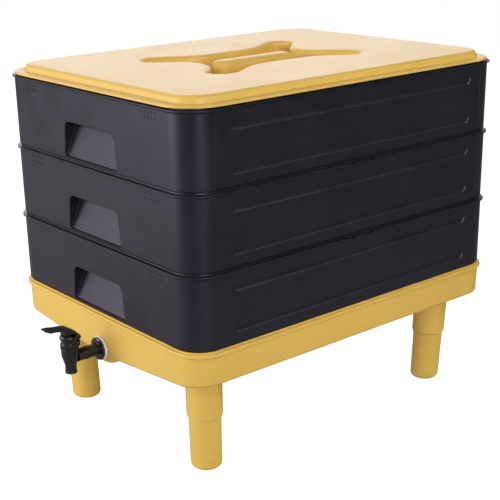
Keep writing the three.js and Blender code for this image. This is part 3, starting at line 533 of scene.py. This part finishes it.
def tray_shape(material):
    """One working tray, its resting edge at z = 0."""
    s = bpy.context.scene.wormery_sizes
    half_x, half_y, lip = s.length / MM / 2, s.width / MM / 2, s.lip / MM
    top = s.pitch / MM - SEAT_GAP
    # The wall stops a little above the seat, which leaves the dark groove between two trays
    outer = body_stack("tray", filleted([
        (-NEST_INSET - EDGE, -NEST_DEPTH), (-NEST_INSET, 0, 0.3), (-2.4, 0), (-2.4, 1.7, 0.3),
        (-0.3, 1.8, 0.3), (0, 2.3, 0.4), (0.03, 7)], 3) + lip_profile(DRAFT, top, lip), MOULD_LINE)
    nest = -NEST_INSET - NEST_WALL
    inner = body_stack("tray_inside", filleted([
        (nest - 2, -NEST_DEPTH + TRAY_FLOOR), (nest, -NEST_DEPTH + TRAY_FLOOR + 2, 1.5), (nest, WALL, 1),
        (-WALL, WALL + NEST_INSET, 1), (DRAFT - WALL, top + 2)], 3))
    cut(outer, inner)
    for lift in CHANNEL_LIFTS:
        rib = channel("rib", lift, [(-1.05, EDGE), (-1.05, 4.4), (-1.25, 4.8), (-1.6, 5.0)])
        join(outer, half_turned(rib), rib)
    back = hold_form("hold_back", 2.2, -EDGE, 0)
    join(outer, half_turned(back), back)
    hold = hold_form("hold", 0, 3, 1.3)
    cut(outer, half_turned(hold), hold)
    for lift in CHANNEL_LIFTS:
        groove = channel("groove", lift, [
            (0.9, -2.0), (0.9, -0.25), (0.35, 0.05), (-0.1, 0.45), (-0.8, 1.1), (-1.2, 1.3),
            (-2.9, 1.35), (-3.3, 1.6), (-3.6, 2.5), (-3.9, 2.8)])
        cut(outer, half_turned(groove), groove)
    for x in (-CLIP_REACH, CLIP_REACH):
        notch = block("notch", CLIP_NOTCH, (x, -half_y - lip + 0.2, top - 1.7))
        cut(outer, half_turned(notch), notch)
    slots = bpy.data.node_groups.get("Rounded slots") or perforations()
    pierce(outer, slots, material, Slot_length=44.0, Slot_width=6.0, End_radius=2.9, Depth=8.0,
           Columns=5, Rows=5, Column_step=(SLOT_STEP_X, 0, 0), Row_step=(0, SLOT_STEP_Y, 0),
           First_slot=(-2 * SLOT_STEP_X, -2 * SLOT_STEP_Y, -NEST_DEPTH + TRAY_FLOOR / 2),
           Turn=(0, 0, 0))
    # Ten small air slots on either side of the hand hold, in both ends
    for end in (-1, 1):
        for group in (-1, 1):
            pierce(outer, slots, material, Slot_length=1.2, Slot_width=2.4, End_radius=0.4, Depth=8.0,
                   Columns=5, Rows=2, Column_step=(0, 6.4, 0), Row_step=(0, 0, -6.2),
                   First_slot=(end * half_x, group * 128 - 12.8, top - 10),
                   Turn=(math.pi / 2, 0, math.pi / 2))
    return outer


class WORMERY_OT_trays(bpy.types.Operator):
    """Make the three working trays"""

    bl_idname = "wormery.trays"
    bl_label = "Working trays"

    def execute(self, context):
        material = palette()["moulded_polypropylene_charcoal"]
        s = context.scene.wormery_sizes
        shape = tray_shape(material)
        for i, (node, body) in enumerate((("tray_bottom", "lower_tray"), ("tray_middle", "mid_tray"),
                                          ("tray_top", "upper_tray"))):
            piece = shape if i == 2 else shape.copy()
            if i < 2:
                piece.data = shape.data.copy()
                context.scene.collection.objects.link(piece)
            piece.name = f"{node}_moulding"
            lift = s.rim + (RIM_RISE + SEAT_GAP) * MM + i * s.pitch
            finish_piece(piece, body, [node], material, in_place(lift))
        return {"FINISHED"}


# Base and legs

# Sump: how far it stands out from the body, draft, least and greatest depth, lower edge and floor
SWELL, BASE_DRAFT, SHALLOW, DEEP, BASE_ROUND, BASE_FLOOR = 0.8, 1.0, 44.0, 60.5, 5.0, 3.0
# Depth of the rim bead, and the well behind the tap
BEAD, WELL_RADIUS, WELL_DROP, WELL_HALF, WELL_LENGTH = 6.5, 57.0, 7.7, 34.0, 46.0
# Tap: its shank below the rim, its barrel out from the wall, and the pad under its washer
TAP_DROP, TAP_REACH, TAP_PAD = 48.2, 46.8, 0.9
# Each leg's side along X and along Y
LEGS = {"leg_tap_right": (-1, -1), "leg_far_right": (1, -1),
        "leg_far_left": (1, 1), "leg_tap_left": (-1, 1)}
SOCKETS = [node.replace("leg", "leg_socket") for node in LEGS]
# Legs: distance from the middle, lean, and the sockets' lower end above the ground
LEG_X, LEG_Y, LEAN, SOCKET_END = 209.0, 144.5, 0.035, 73.5
SOCKET_RADIUS, SOCKET_WALL = 22.75, 2.8


def sump_depth(x, y):
    """Height of the sump's underside: a valley toward the tap, level at the far end."""
    s = bpy.context.scene.wormery_sizes
    across, along = abs(y) / (s.width / MM / 2), (x + s.length / MM / 2) / (s.length / MM)
    return -DEEP + (DEEP - SHALLOW) * max(across, along)


def sump(name, offset, lift):
    """Sump with rounded lower edges, moved inward by an offset and up by a lift."""
    s = bpy.context.scene.wormery_sizes
    round_ = BASE_ROUND - offset
    points = [(x, y, -BEAD) for x, y in body_outline(SWELL - offset)]
    for k in range(6):
        a = k / 5 * math.pi / 2
        grow = SWELL - offset - BASE_DRAFT - round_ * (1 - math.cos(a))
        rise = round_ * (1 - math.sin(a))
        for x, y in [*body_outline(grow), (-s.length / MM / 2 - grow, 0)]:
            points.append((x, y, sump_depth(x, y) + lift + rise))
    return hull(name, points)


def well(name, offset, lift):
    """Round-bottomed swelling of the sump behind the tap."""
    s = bpy.context.scene.wormery_sizes
    radius, centre = WELL_RADIUS - lift, -DEEP - WELL_DROP + WELL_RADIUS
    span = math.asin((WELL_HALF - offset) / WELL_RADIUS)
    face, round_ = -s.length / MM / 2 - SWELL + BASE_DRAFT + offset, BASE_ROUND - offset
    points = []

    def arc(x, r):
        for i in range(-12, 13):
            a = span * i / 12
            points.append((x, r * math.sin(a), centre - r * math.cos(a)))
    for k in range(6):
        a = k / 5 * math.pi / 2
        arc(face + round_ * (1 - math.cos(a)), radius - round_ * (1 - math.sin(a)))
    arc(face + WELL_LENGTH, radius - WELL_DROP * 2)
    points += [(x, y * (WELL_HALF - offset), -SHALLOW)
               for y in (-1, 1) for x in (face, face + WELL_LENGTH)]
    return hull(name, points)


def leaned(obj, sx, sy):
    """Shear of a leg or socket toward the middle of the base, from ground height."""
    s = bpy.context.scene.wormery_sizes
    still = s.rim / MM - SHALLOW
    kx, ky = sx * LEAN, sy * LEAN
    return placed(obj, Matrix(((1, 0, kx, sx * LEG_X - kx * still), (0, 1, ky, sy * LEG_Y - ky * still),
                               (0, 0, 1, 0), (0, 0, 0, 1))))


def along_x(obj, x):
    """A turned shape laid along X at the height of the tap's shank."""
    return placed(obj, Matrix.Translation((x, 0, -TAP_DROP)) @ Matrix.Rotation(math.pi / 2, 4, "Y"))


def base_shape():
    """Base tray, its rim plane at z = 0."""
    s = bpy.context.scene.wormery_sizes
    half_x, lip, rim = s.length / MM / 2, s.lip / MM, s.rim / MM
    body = sump("base", 0, 0)
    bead = body_stack("bead", filleted([
        (SWELL, -BEAD - 3.2), (SWELL, -BEAD, 0.5), (lip, -BEAD + 0.8, 1.2), (lip, RIM_RISE - 2.2, 1.3),
        (-0.2, RIM_RISE - 1.1, 0.4), (-0.4, RIM_RISE)], 4))
    join(body, bead, well("well", 0, 0))
    pad = revolve("pad", filleted([
        (0, 0), (16, 0, 0.4), (16, TAP_PAD + EDGE), (0, TAP_PAD + EDGE)]), 48)
    join(body, along_x(pad, -half_x - TAP_PAD))
    for sx, sy in LEGS.values():
        socket = leaned(revolve("socket", filleted([
            (0, SOCKET_END), (SOCKET_RADIUS, SOCKET_END, 0.6), (23.1, rim - SHALLOW),
            (0, rim - SHALLOW)]), 48), sx, sy)
        join(body, placed(socket, Matrix.Translation((0, 0, -rim))))
    cut(body, sump("sump_inside", WALL, BASE_FLOOR), well("well_inside", WALL, BASE_FLOOR),
        body_stack("rim_inside", [(SWELL - WALL - EDGE, -BEAD - 2), (SWELL - WALL, -BEAD),
                                  (SWELL - WALL, RIM_RISE + 2)]))
    hole = revolve("tap_hole", [(0, 0), (8.6, 0), (8.6, 8), (0, 8)], 40)
    cut(body, along_x(hole, -half_x - 3))
    r = SOCKET_RADIUS - SOCKET_WALL
    for sx, sy in LEGS.values():
        bore = leaned(revolve("socket_bore", [
            (0, SOCKET_END - 2), (r, SOCKET_END - 2), (r - 0.3, SOCKET_END + 48), (0, SOCKET_END + 48)],
            48), sx, sy)
        cut(body, placed(bore, Matrix.Translation((0, 0, -rim))))
    return body


class WORMERY_OT_base(bpy.types.Operator):
    """Make the base tray with its sump and leg sockets"""

    bl_idname = "wormery.base"
    bl_label = "Base tray"

    def execute(self, context):
        piece = base_shape()
        piece.name = "base_moulding"
        finish_piece(piece, "base", ["base_tray", *SOCKETS],
                     palette()["moulded_polypropylene_ochre"], in_place(context.scene.wormery_sizes.rim))
        return {"FINISHED"}


class WORMERY_OT_legs(bpy.types.Operator):
    """Make the four push-in legs"""

    bl_idname = "wormery.legs"
    bl_label = "Legs"

    def execute(self, context):
        stop, plug = SOCKET_END - SEAT_GAP, SOCKET_RADIUS - SOCKET_WALL - 0.4
        # A rounded bead runs round each leg under its socket, and the plug above it goes in
        profile = filleted([
            (0, 0), (19.8, 0, 6.5), (20.6, stop - 3.2, 0.3), (21.7, stop - 2.4, 0.8),
            (21.7, stop - 0.6, 0.8), (20.6, stop, 0.2),
            (plug, stop), (plug - 0.3, stop + 44), (plug - 2.7, stop + 44), (plug - 2.4, stop),
            (17.3, 6.5, 2), (13.2, 2.4), (0, 2.4)], 6)
        for node, (sx, sy) in LEGS.items():
            piece = leaned(revolve(f"{node}_moulding", profile, 48), sx, sy)
            finish_piece(piece, "base", [node],
                         palette()["moulded_polypropylene_ochre"], in_place())
        return {"FINISHED"}


# Lid

LID_HEIGHT, FLANGE, PANEL_INSET, PANEL_ROUND = 11.6, 2.6, 14.0, 6.0
LID_WALL, SKIRT_DEPTH, SKIRT_INSET, SKIRT_WALL = 2.8, 9.0, 4.0, 2.2
RECESS_DEPTH, RECESS_DRAFT, RECESS_EDGE, RECESS_ROLL = 20.0, 2.0, 6.0, 9.0
BAR_LENGTH, BAR_WIDTH, BAR_ROUND, BAR_DRAFT = 133.0, 29.0, 11.0, 1.2


def bezier(p0, p1, p2, p3, steps):
    """Points of a cubic curve, its first point left out."""
    a, b, c, d = (Vector(p) for p in (p0, p1, p2, p3))
    return [tuple(a * (1 - t) ** 3 + b * 3 * t * (1 - t) ** 2 + c * 3 * t * t * (1 - t) + d * t ** 3)
            for t in (k / steps for k in range(1, steps + 1))]


def recess_outline(offset):
    """Bone-shaped outline of the recess, moved outward by an offset.

    wx and wy are half its waist, lx and ly the middle of a lobe, and r the lobe's radius.
    """
    wx, wy, lx, ly, r = 83 + offset, 51.5 + offset, 109.0, 68.0, 17.5 + offset
    start, end, steps = math.pi * 0.56, -math.pi * 0.14, 10

    def at(a):
        return lx + r * math.cos(a), ly + r * math.sin(a)
    (x0, y0), (x1, y1) = at(start), at(end)
    quarter = [(wx / 3, wy)]
    quarter += bezier((wx / 3, wy), (wx * 0.72, wy), (x0 - r * 0.9, y0 - r * 0.1), (x0, y0), steps)
    quarter += [at(start + (end - start) * k / (2 * steps)) for k in range(1, 2 * steps + 1)]
    quarter += bezier((x1, y1), (x1 - r * 0.5, y1 - r * 0.9), (wx, ly / 2), (wx, 0), steps)
    back = quarter[::-1]
    return [*back, *[(-x, y) for x, y in quarter], *[(-x, -y) for x, y in back[1:]],
            *[(x, -y) for x, y in quarter[:-1]]]


def bar_outline(offset):
    """Outline of the carrying bar, moved outward by an offset."""
    return stadium(BAR_LENGTH + 2 * offset, BAR_WIDTH + 2 * offset, 14)


def lid_outline(inset):
    """Outline of the lid, moved inward from the edge of its flange."""
    s = bpy.context.scene.wormery_sizes
    side = s.lip / MM - inset
    return rounded_rectangle(s.length / MM / 2 + side, s.width / MM / 2 + side,
                             s.lid_corner / MM - inset)


def panel_outline(offset):
    """Outline of the lid's raised panel, moved outward by an offset."""
    return lid_outline(PANEL_INSET - offset)


def rolled(outline, round_, top, grow=0, steps=8):
    """Rings of a rounded upper edge, each an outline and its height."""
    rings = []
    for k in range(1, steps + 1):
        a = k / steps * math.pi / 2
        rings.append((outline(grow - round_ * (1 - math.cos(a))), top - round_ * (1 - math.sin(a))))
    return rings


def lid_shape():
    """Lid, the underside of its flange at z = 0."""
    top = LID_HEIGHT
    flange = filleted([(1.2, 0), (0, 0, 0.7), (0, FLANGE, 1.1), (2.4, FLANGE)], 4)
    foot = [(2.4, FLANGE), (1.35, FLANGE + 0.25), (0.75, FLANGE + 0.9), (0.6, FLANGE + 1.9)]
    body = stack("lid", [(lid_outline(inset), z) for inset, z in flange]
                 + [(panel_outline(offset), z) for offset, z in foot]
                 + [(panel_outline(0), top - PANEL_ROUND)] + rolled(panel_outline, PANEL_ROUND, top))
    skirt = body_stack("skirt", [(-SKIRT_INSET - EDGE, -SKIRT_DEPTH),
                                 (-SKIRT_INSET, -SKIRT_DEPTH + EDGE), (-SKIRT_INSET, EDGE)])
    join(body, skirt)
    cut(body,
        body_stack("skirt_inside", [(-SKIRT_INSET - SKIRT_WALL - EDGE, -SKIRT_DEPTH - 2),
                                    (-SKIRT_INSET - SKIRT_WALL, 0)]),
        stack("lid_inside", [(panel_outline(-LID_WALL), -2),
                             (panel_outline(-LID_WALL), top - PANEL_ROUND)]
              + rolled(panel_outline, PANEL_ROUND - LID_WALL, top - LID_WALL, -LID_WALL, 6)))
    floor = top - RECESS_DEPTH
    bowl = stack("bowl", [(recess_outline(LID_WALL - RECESS_DRAFT), floor - LID_WALL),
                          (recess_outline(LID_WALL), top - LID_WALL - RECESS_EDGE),
                          (recess_outline(LID_WALL + RECESS_ROLL), top - LID_WALL),
                          (recess_outline(LID_WALL + RECESS_ROLL), top - EDGE)])
    join(body, bowl)
    lower = [(recess_outline(-RECESS_DRAFT - 1.5), floor),
             (recess_outline(-RECESS_DRAFT - 0.4), floor + 0.4),
             (recess_outline(-RECESS_DRAFT + 0.1), floor + 1.6)]
    # The edge rolls over softly, wider than it is deep
    roll = [(recess_outline(RECESS_ROLL * (1 - math.cos(a))), top - RECESS_EDGE * (1 - math.sin(a)))
            for a in (k / 10 * math.pi / 2 for k in range(11))]
    cut(body, stack("recess", lower + roll + [(recess_outline(RECESS_ROLL), top + 2)]))
    bar = stack("bar", [(bar_outline(BAR_DRAFT), floor - EDGE), (bar_outline(0), top - BAR_ROUND)]
                + rolled(bar_outline, BAR_ROUND, top))
    join(body, bar)
    cut(body, stack("bar_inside", [(bar_outline(BAR_DRAFT - LID_WALL), floor - LID_WALL - 2),
                                   (bar_outline(-LID_WALL), top - BAR_ROUND),
                                   (bar_outline(-BAR_ROUND), top - LID_WALL)]))
    return body


class WORMERY_OT_lid(bpy.types.Operator):
    """Make the lid with its recessed carrying bar"""

    bl_idname = "wormery.lid"
    bl_label = "Lid"

    def execute(self, context):
        s = context.scene.wormery_sizes
        piece = lid_shape()
        piece.name = "lid_moulding"
        finish_piece(piece, "cover", ["lid"], palette()["moulded_polypropylene_ochre"],
                     in_place(s.rim + (RIM_RISE + SEAT_GAP) * MM + 3 * s.pitch))
        return {"FINISHED"}


# Tap, on its barrel's axis with the base's rim plane at z = 0

PIN_Z, EYE_HALF, LEVER_HALF, STRAP_HALF = -16.4, 3.35, 6.2, 3
# Where the lever's paddle begins, and its length
PADDLE_X, PADDLE_LENGTH = -9, 27.5


def on_pin(obj):
    """A turned shape laid along Y on the lever's pin."""
    return placed(obj, Matrix.Translation((0, 0, PIN_Z)) @ Matrix.Rotation(math.pi / 2, 4, "X"))


def tap_body_shape():
    """Barrel, spout, flange and hollow shank."""
    barrel = revolve("tap_body", filleted([
        (4.6, -68.8), (7.3, -68.8, 0.4), (7.9, -68.1, 0.5), (7.8, -66.8, 0.8), (7.4, -64.7, 3),
        (7.5, -58, 6), (8.9, -53, 6), (10.9, -46, 9), (11.4, -37, 2), (11.3, -35.6, 0.5),
        (9.6, -35.6), (9.6, -29.8), (8, -29.8), (8, -54), (4.6, -54)], 6), 48, closed=True)
    face, end = TAP_REACH - TAP_PAD - 3.6, TAP_REACH + 17
    shank = along_x(revolve("shank", filleted([
        (0, 9.0), (8.2, 9.0), (8.2, 20.6, 0.4), (8.8, 21.2, 0.4), (8.8, 23.8, 0.4), (8.2, 24.4, 0.4),
        (8.2, face - 3, 0.8), (13.2, face - 3, 0.6), (15, face - 1.9, 0.8), (15, face, 0.3),
        (8.2, face, 0.2), (8.2, end, 0.6), (0, end)], 4), 48), 0)
    join(barrel, shank)
    return cut(barrel, along_x(revolve("inlet", [(0, 3), (5, 3), (5, 70), (0, 70)], 32), 0))


def bonnet_shape():
    """Cap that closes the barrel and guides the stem, with a rim at its foot."""
    cap = revolve("tap_bonnet", filleted([
        (9.9, -35.3), (11.7, -35.3, 0.3), (11.9, -33.8, 1), (11.6, -28.4, 1.2), (10.2, -27.2, 0.6),
        (10, -24.4, 0.5), (11.9, -22.9, 1.2), (11.9, -18.5, 3), (9.6, -16.6, 2),
        (EYE_HALF, -16.6, 0.3), (EYE_HALF, -29.5), (9.9, -29.5)], 4), 48, closed=True)
    # The flat well in its top leaves room for the lever's hub
    return cut(cap, block("well", (24, 13.4, 8), (3.4, 0, PIN_Z)))



def flat_bar(name, side, half_width, soft):
    """A side view in X and Z, pulled along Y and given rounded edges."""
    bm = bmesh.new()
    face = bm.faces.new([bm.verts.new((x, -half_width, z)) for x, z in side])
    pulled = bmesh.ops.extrude_face_region(bm, geom=[face])
    ends = [g for g in pulled["geom"] if isinstance(g, bmesh.types.BMVert)]
    bmesh.ops.translate(bm, vec=(0, 2 * half_width, 0), verts=ends)
    bar = new_object(name, bm)
    soften = bar.modifiers.new("Rounded edges", "BEVEL")
    soften.width, soften.segments, soften.angle_limit = soft, 4, math.radians(50)
    return settle(bar)


def lever_shape():
    """Paddle, hood over the stem's eye, and strap behind the bonnet."""
    side = filleted([
        (-36.5, -2.7, 0.6), (-35.7, -1.2, 0.8), (-27.7, -2, 9), (-21.2, -3.2, 9), (-9.6, -4.8, 9),
        (-2.2, -6.5, 9), (4.4, -10.5, 6), (7.7, -14, 6), (11, -17, 5), (13.9, -20.3, 3), (14.1, -24),
        (12.3, -24, 0.2), (12.3, -21.4, 0.8), (9.5, -20.1, 0.5), (-7.8, -20.1, 0.4), (-8.3, -16.2, 4),
        (-9.5, -12, 4), (-9.9, -9.3, 0.5), (-17.1, -8.1, 9), (-22, -7.5, 9), (-28, -6.9, 6),
        (-32.7, -4.9, 3)], 4)
    lever = flat_bar("tap_lever", side, LEVER_HALF, 1.0)
    for v in lever.data.vertices:
        # The paddle narrows a little behind its blunt tip
        if v.co.x < PADDLE_X:
            t = (PADDLE_X - v.co.x) / PADDLE_LENGTH
            waist = 1 - 0.1 * math.sin(math.pi * min(t * 1.3, 1))
            tip = 1 - 0.3 * max(t - 0.85, 0) ** 2 / 0.0225
            v.co.y *= waist * tip
    strap = flat_bar("strap", [(12.3, -35), (14.1, -35), (14.1, -22), (12.3, -22)], STRAP_HALF, 0.4)
    eye = on_pin(revolve("eye_slot", [
        (0, -EYE_HALF), (5.2, -EYE_HALF), (5.2, EYE_HALF), (0, EYE_HALF)], 32))
    join(lever, strap)
    return cut(lever, eye, block("slot", (11.4, 2 * EYE_HALF, 6.4), (-0.4, 0, -19.6)))


def stem_shape():
    """Rod and eye that the lever's pin goes through."""
    rod = revolve("tap_stem", filleted([
        (0, -48.4), (3, -48.4, 0.4), (3, PIN_Z - 1), (0, PIN_Z - 1)]), 32)
    eye = revolve("eye", filleted([(0, -3), (4.4, -3, 0.4), (4.4, 3, 0.4), (0, 3)]), 32)
    return join(rod, on_pin(eye))


class WORMERY_OT_tap(bpy.types.Operator):
    """Make the lever tap"""

    bl_idname = "wormery.tap"
    bl_label = "Tap"

    def execute(self, context):
        s = context.scene.wormery_sizes
        finishes = palette()
        black, rubber, natural = (finishes[n] for n in (
            "polished_acetal_black", "silicone_rubber_white", "natural_acetal"))
        place = Matrix.Translation((s.middle - s.length / 2 - TAP_REACH * MM, 0, s.rim))
        washer = along_x(revolve("washer", filleted([
            (8.5, 0), (15.6, 0, 0.3), (16, 0.6, 0.5), (16, 2.4, 0.5), (15.6, 3, 0.3), (8.5, 3)], 3),
            48, closed=True), TAP_REACH - TAP_PAD - 3.3)
        for obj, name, body, node, slot, material in (
                (tap_body_shape(), "tap_barrel", "base", "tap_body", "black_plastic", black),
                (bonnet_shape(), "tap_cap", "base", "tap_bonnet", "black_plastic", black),
                (washer, "tap_seal", "base", "tap_outer_washer", "white_rubber", rubber),
                (stem_shape(), "tap_rod", "stem", "tap_stem", "white_plastic", natural),
                (lever_shape(), "tap_handle", "lever", "tap_lever", "black_plastic", black)):
            obj.name = name
            finish_piece(obj, body, [node], material, place)
        for node, material in (("tap_inner_washer", rubber), ("tap_seat_cup", rubber),
                               ("tap_lock_nut", black), ("tap_pivot_pin", black)):
            for held in NODES[node].material_slots:
                held.material = material
        return {"FINISHED"}


# Stage, in metres

# Direction of the studio's bright side, behind the part and to its left
BRIGHT_SIDE = (-0.62, 0.72, 0.31)
# Name, place, size, power, spread in degrees and share of green. Grids narrow the fill and top
# lamps, so that they light little of the floor on the right. The back lamp is faintly pink.
LAMPS = (("key_softbox", (-2.0, 0.95, 0.8), 1.6, 42, 180, 1),
         ("back_softbox", (1.8, 2.3, 1.4), 2.4, 32, 180, 0.94),
         ("fill_softbox", (-0.7, -2.4, 0.8), 1.4, 3.8, 50, 1),
         ("top_softbox", (0.7, -1.9, 2.0), 1.0, 2.2, 50, 1))
LAMP_AIM = Vector((0, 0, 0.25))
# The photograph was cropped, so its optical axis is a little left of the middle: the lens shift
CAMERA_PLACE, YAW, PITCH, ROLL = (-0.92986, -1.14303, 0.69386), 0.8958, 0.3142, -0.0237
SENSOR, LENS, SHIFT = 36, 80.653, 0.05


def make_floor():
    """Wide floor under the part."""
    bm = bmesh.new()
    bmesh.ops.create_grid(bm, x_segments=1, y_segments=1, size=20)
    floor = new_object("floor", bm)
    if floor.data.polygons[0].normal.z < 0:
        floor.data.flip_normals()
    # Matt grey paper. A glow that only the camera sees leaves it nearly white, with hardly a shadow.
    material = bpy.data.materials.new("pale_studio_floor")
    material.use_nodes = True
    tree = material.node_tree
    paper = tree.nodes["Principled BSDF"]
    paper.inputs["Base Color"].default_value = (0.5, 0.5, 0.5, 1)
    paper.inputs["Roughness"].default_value = 0.9
    seen = add(tree, "ShaderNodeLightPath").outputs["Is Camera Ray"]
    glow = add(tree, "ShaderNodeEmission", {"Color": (1, 1, 1, 1), "Strength": 0.9})
    both = add(tree, "ShaderNodeAddShader")
    tree.links.new(paper.outputs[0], both.inputs[0])
    tree.links.new(glow.outputs[0], both.inputs[1])
    mix = add(tree, "ShaderNodeMixShader", None, Fac=seen)
    tree.links.new(paper.outputs[0], mix.inputs[1])
    tree.links.new(both.outputs[0], mix.inputs[2])
    tree.links.new(mix.outputs[0], tree.nodes["Material Output"].inputs["Surface"])
    floor.data.materials.append(material)


def make_world():
    """Studio that is bright on one side and dark on the other. The camera itself sees plain white."""
    world = bpy.data.worlds.new("studio")
    bpy.context.scene.world = world
    world.use_nodes = True
    tree = world.node_tree
    tree.nodes.clear()
    path = add(tree, "ShaderNodeLightPath").outputs
    toward = add(tree, "ShaderNodeVectorMath", {"operation": "DOT_PRODUCT"},
                 Vector=add(tree, "ShaderNodeTexCoord").outputs["Generated"])
    toward.inputs[1].default_value = BRIGHT_SIDE
    soft = add(tree, "ShaderNodeMapRange", {
        "interpolation_type": "SMOOTHSTEP", "From Min": -0.7, "From Max": 0.7,
        "To Min": 0.12, "To Max": 0.8}, Value=toward.outputs["Value"])
    # Reflections show all of it, and it lights matt surfaces with about a quarter
    share = add(tree, "ShaderNodeMapRange", {"To Min": 0.26, "To Max": 1.0},
                Value=path["Is Glossy Ray"])
    strength = soft.outputs["Result"]
    for operation, other in (
            ("MULTIPLY", share.outputs["Result"]), ("MAXIMUM", path["Is Camera Ray"]),
            ("MAXIMUM", path["Is Transmission Ray"])):
        step = add(tree, "ShaderNodeMath", {"operation": operation})
        tree.links.new(strength, step.inputs[0])
        tree.links.new(other, step.inputs[1])
        strength = step.outputs["Value"]
    back = add(tree, "ShaderNodeBackground", {"Color": (1, 1, 1, 1)}, Strength=strength)
    add(tree, "ShaderNodeOutputWorld", None, Surface=back.outputs[0])


def make_lamps():
    """Square area lamps, all pointed at the middle of the part."""
    for name, place, size, power, spread, green in LAMPS:
        light = bpy.data.lights.new(name, "AREA")
        light.energy, light.size, light.spread = power, size, math.radians(spread)
        light.color = (1, green, 1)
        lamp = bpy.data.objects.new(name, light)
        lamp.location = place
        lamp.rotation_euler = (LAMP_AIM - Vector(place)).to_track_quat("-Z", "Y").to_euler()
        bpy.context.scene.collection.objects.link(lamp)


def make_camera():
    """Camera that sees the part as the photograph does."""
    ahead = Vector((math.cos(YAW) * math.cos(PITCH), math.sin(YAW) * math.cos(PITCH),
                    -math.sin(PITCH)))
    flat = Vector((math.sin(YAW), -math.cos(YAW), 0))
    tall = flat.cross(ahead)
    right = flat * math.cos(ROLL) + tall * math.sin(ROLL)
    up = tall * math.cos(ROLL) - flat * math.sin(ROLL)
    camera = bpy.data.objects.new("camera", bpy.data.cameras.new("camera"))
    camera.data.sensor_width, camera.data.lens, camera.data.shift_x = SENSOR, LENS, SHIFT
    camera.matrix_world = Matrix.Translation(CAMERA_PLACE) @ Matrix(
        (right, up, -ahead)).transposed().to_4x4()
    bpy.context.scene.collection.objects.link(camera)
    bpy.context.scene.camera = camera


class WORMERY_OT_stage(bpy.types.Operator):
    """Make the floor, the studio light and the camera"""

    bl_idname = "wormery.stage"
    bl_label = "Stage"

    def execute(self, context):
        make_floor()
        make_world()
        make_lamps()
        make_camera()
        context.scene.view_settings.view_transform = "Standard"
        return {"FINISHED"}


class WORMERY_PT_panel(bpy.types.Panel):
    """Sizes, colours and pieces of the wormery"""

    bl_idname = "WORMERY_PT_panel"
    bl_label = "Wormery"
    bl_space_type = "VIEW_3D"
    bl_region_type = "UI"
    bl_category = "Wormery"

    def draw(self, context):
        for group in (context.scene.wormery_sizes, context.scene.wormery_colours):
            for name in group.__annotations__:
                self.layout.prop(group, name)
        for operator in OPERATORS:
            self.layout.operator(operator.bl_idname)


OPERATORS = (WORMERY_OT_stage, WORMERY_OT_base, WORMERY_OT_legs,
             WORMERY_OT_trays, WORMERY_OT_lid, WORMERY_OT_tap)
CLASSES = (WormerySizes, WormeryColours, *OPERATORS, WORMERY_PT_panel)


def register():
    for cls in CLASSES:
        bpy.utils.register_class(cls)
    bpy.types.Scene.wormery_sizes = bpy.props.PointerProperty(type=WormerySizes)
    bpy.types.Scene.wormery_colours = bpy.props.PointerProperty(type=WormeryColours)


def unregister():
    del bpy.types.Scene.wormery_colours
    del bpy.types.Scene.wormery_sizes
    for cls in reversed(CLASSES):
        bpy.utils.unregister_class(cls)


def main():
    register()
    bpy.ops.wormery.stage()
    bpy.ops.wormery.base()
    bpy.ops.wormery.legs()
    bpy.ops.wormery.trays()
    bpy.ops.wormery.lid()
    bpy.ops.wormery.tap()


if __name__ == "__main__":
    main()
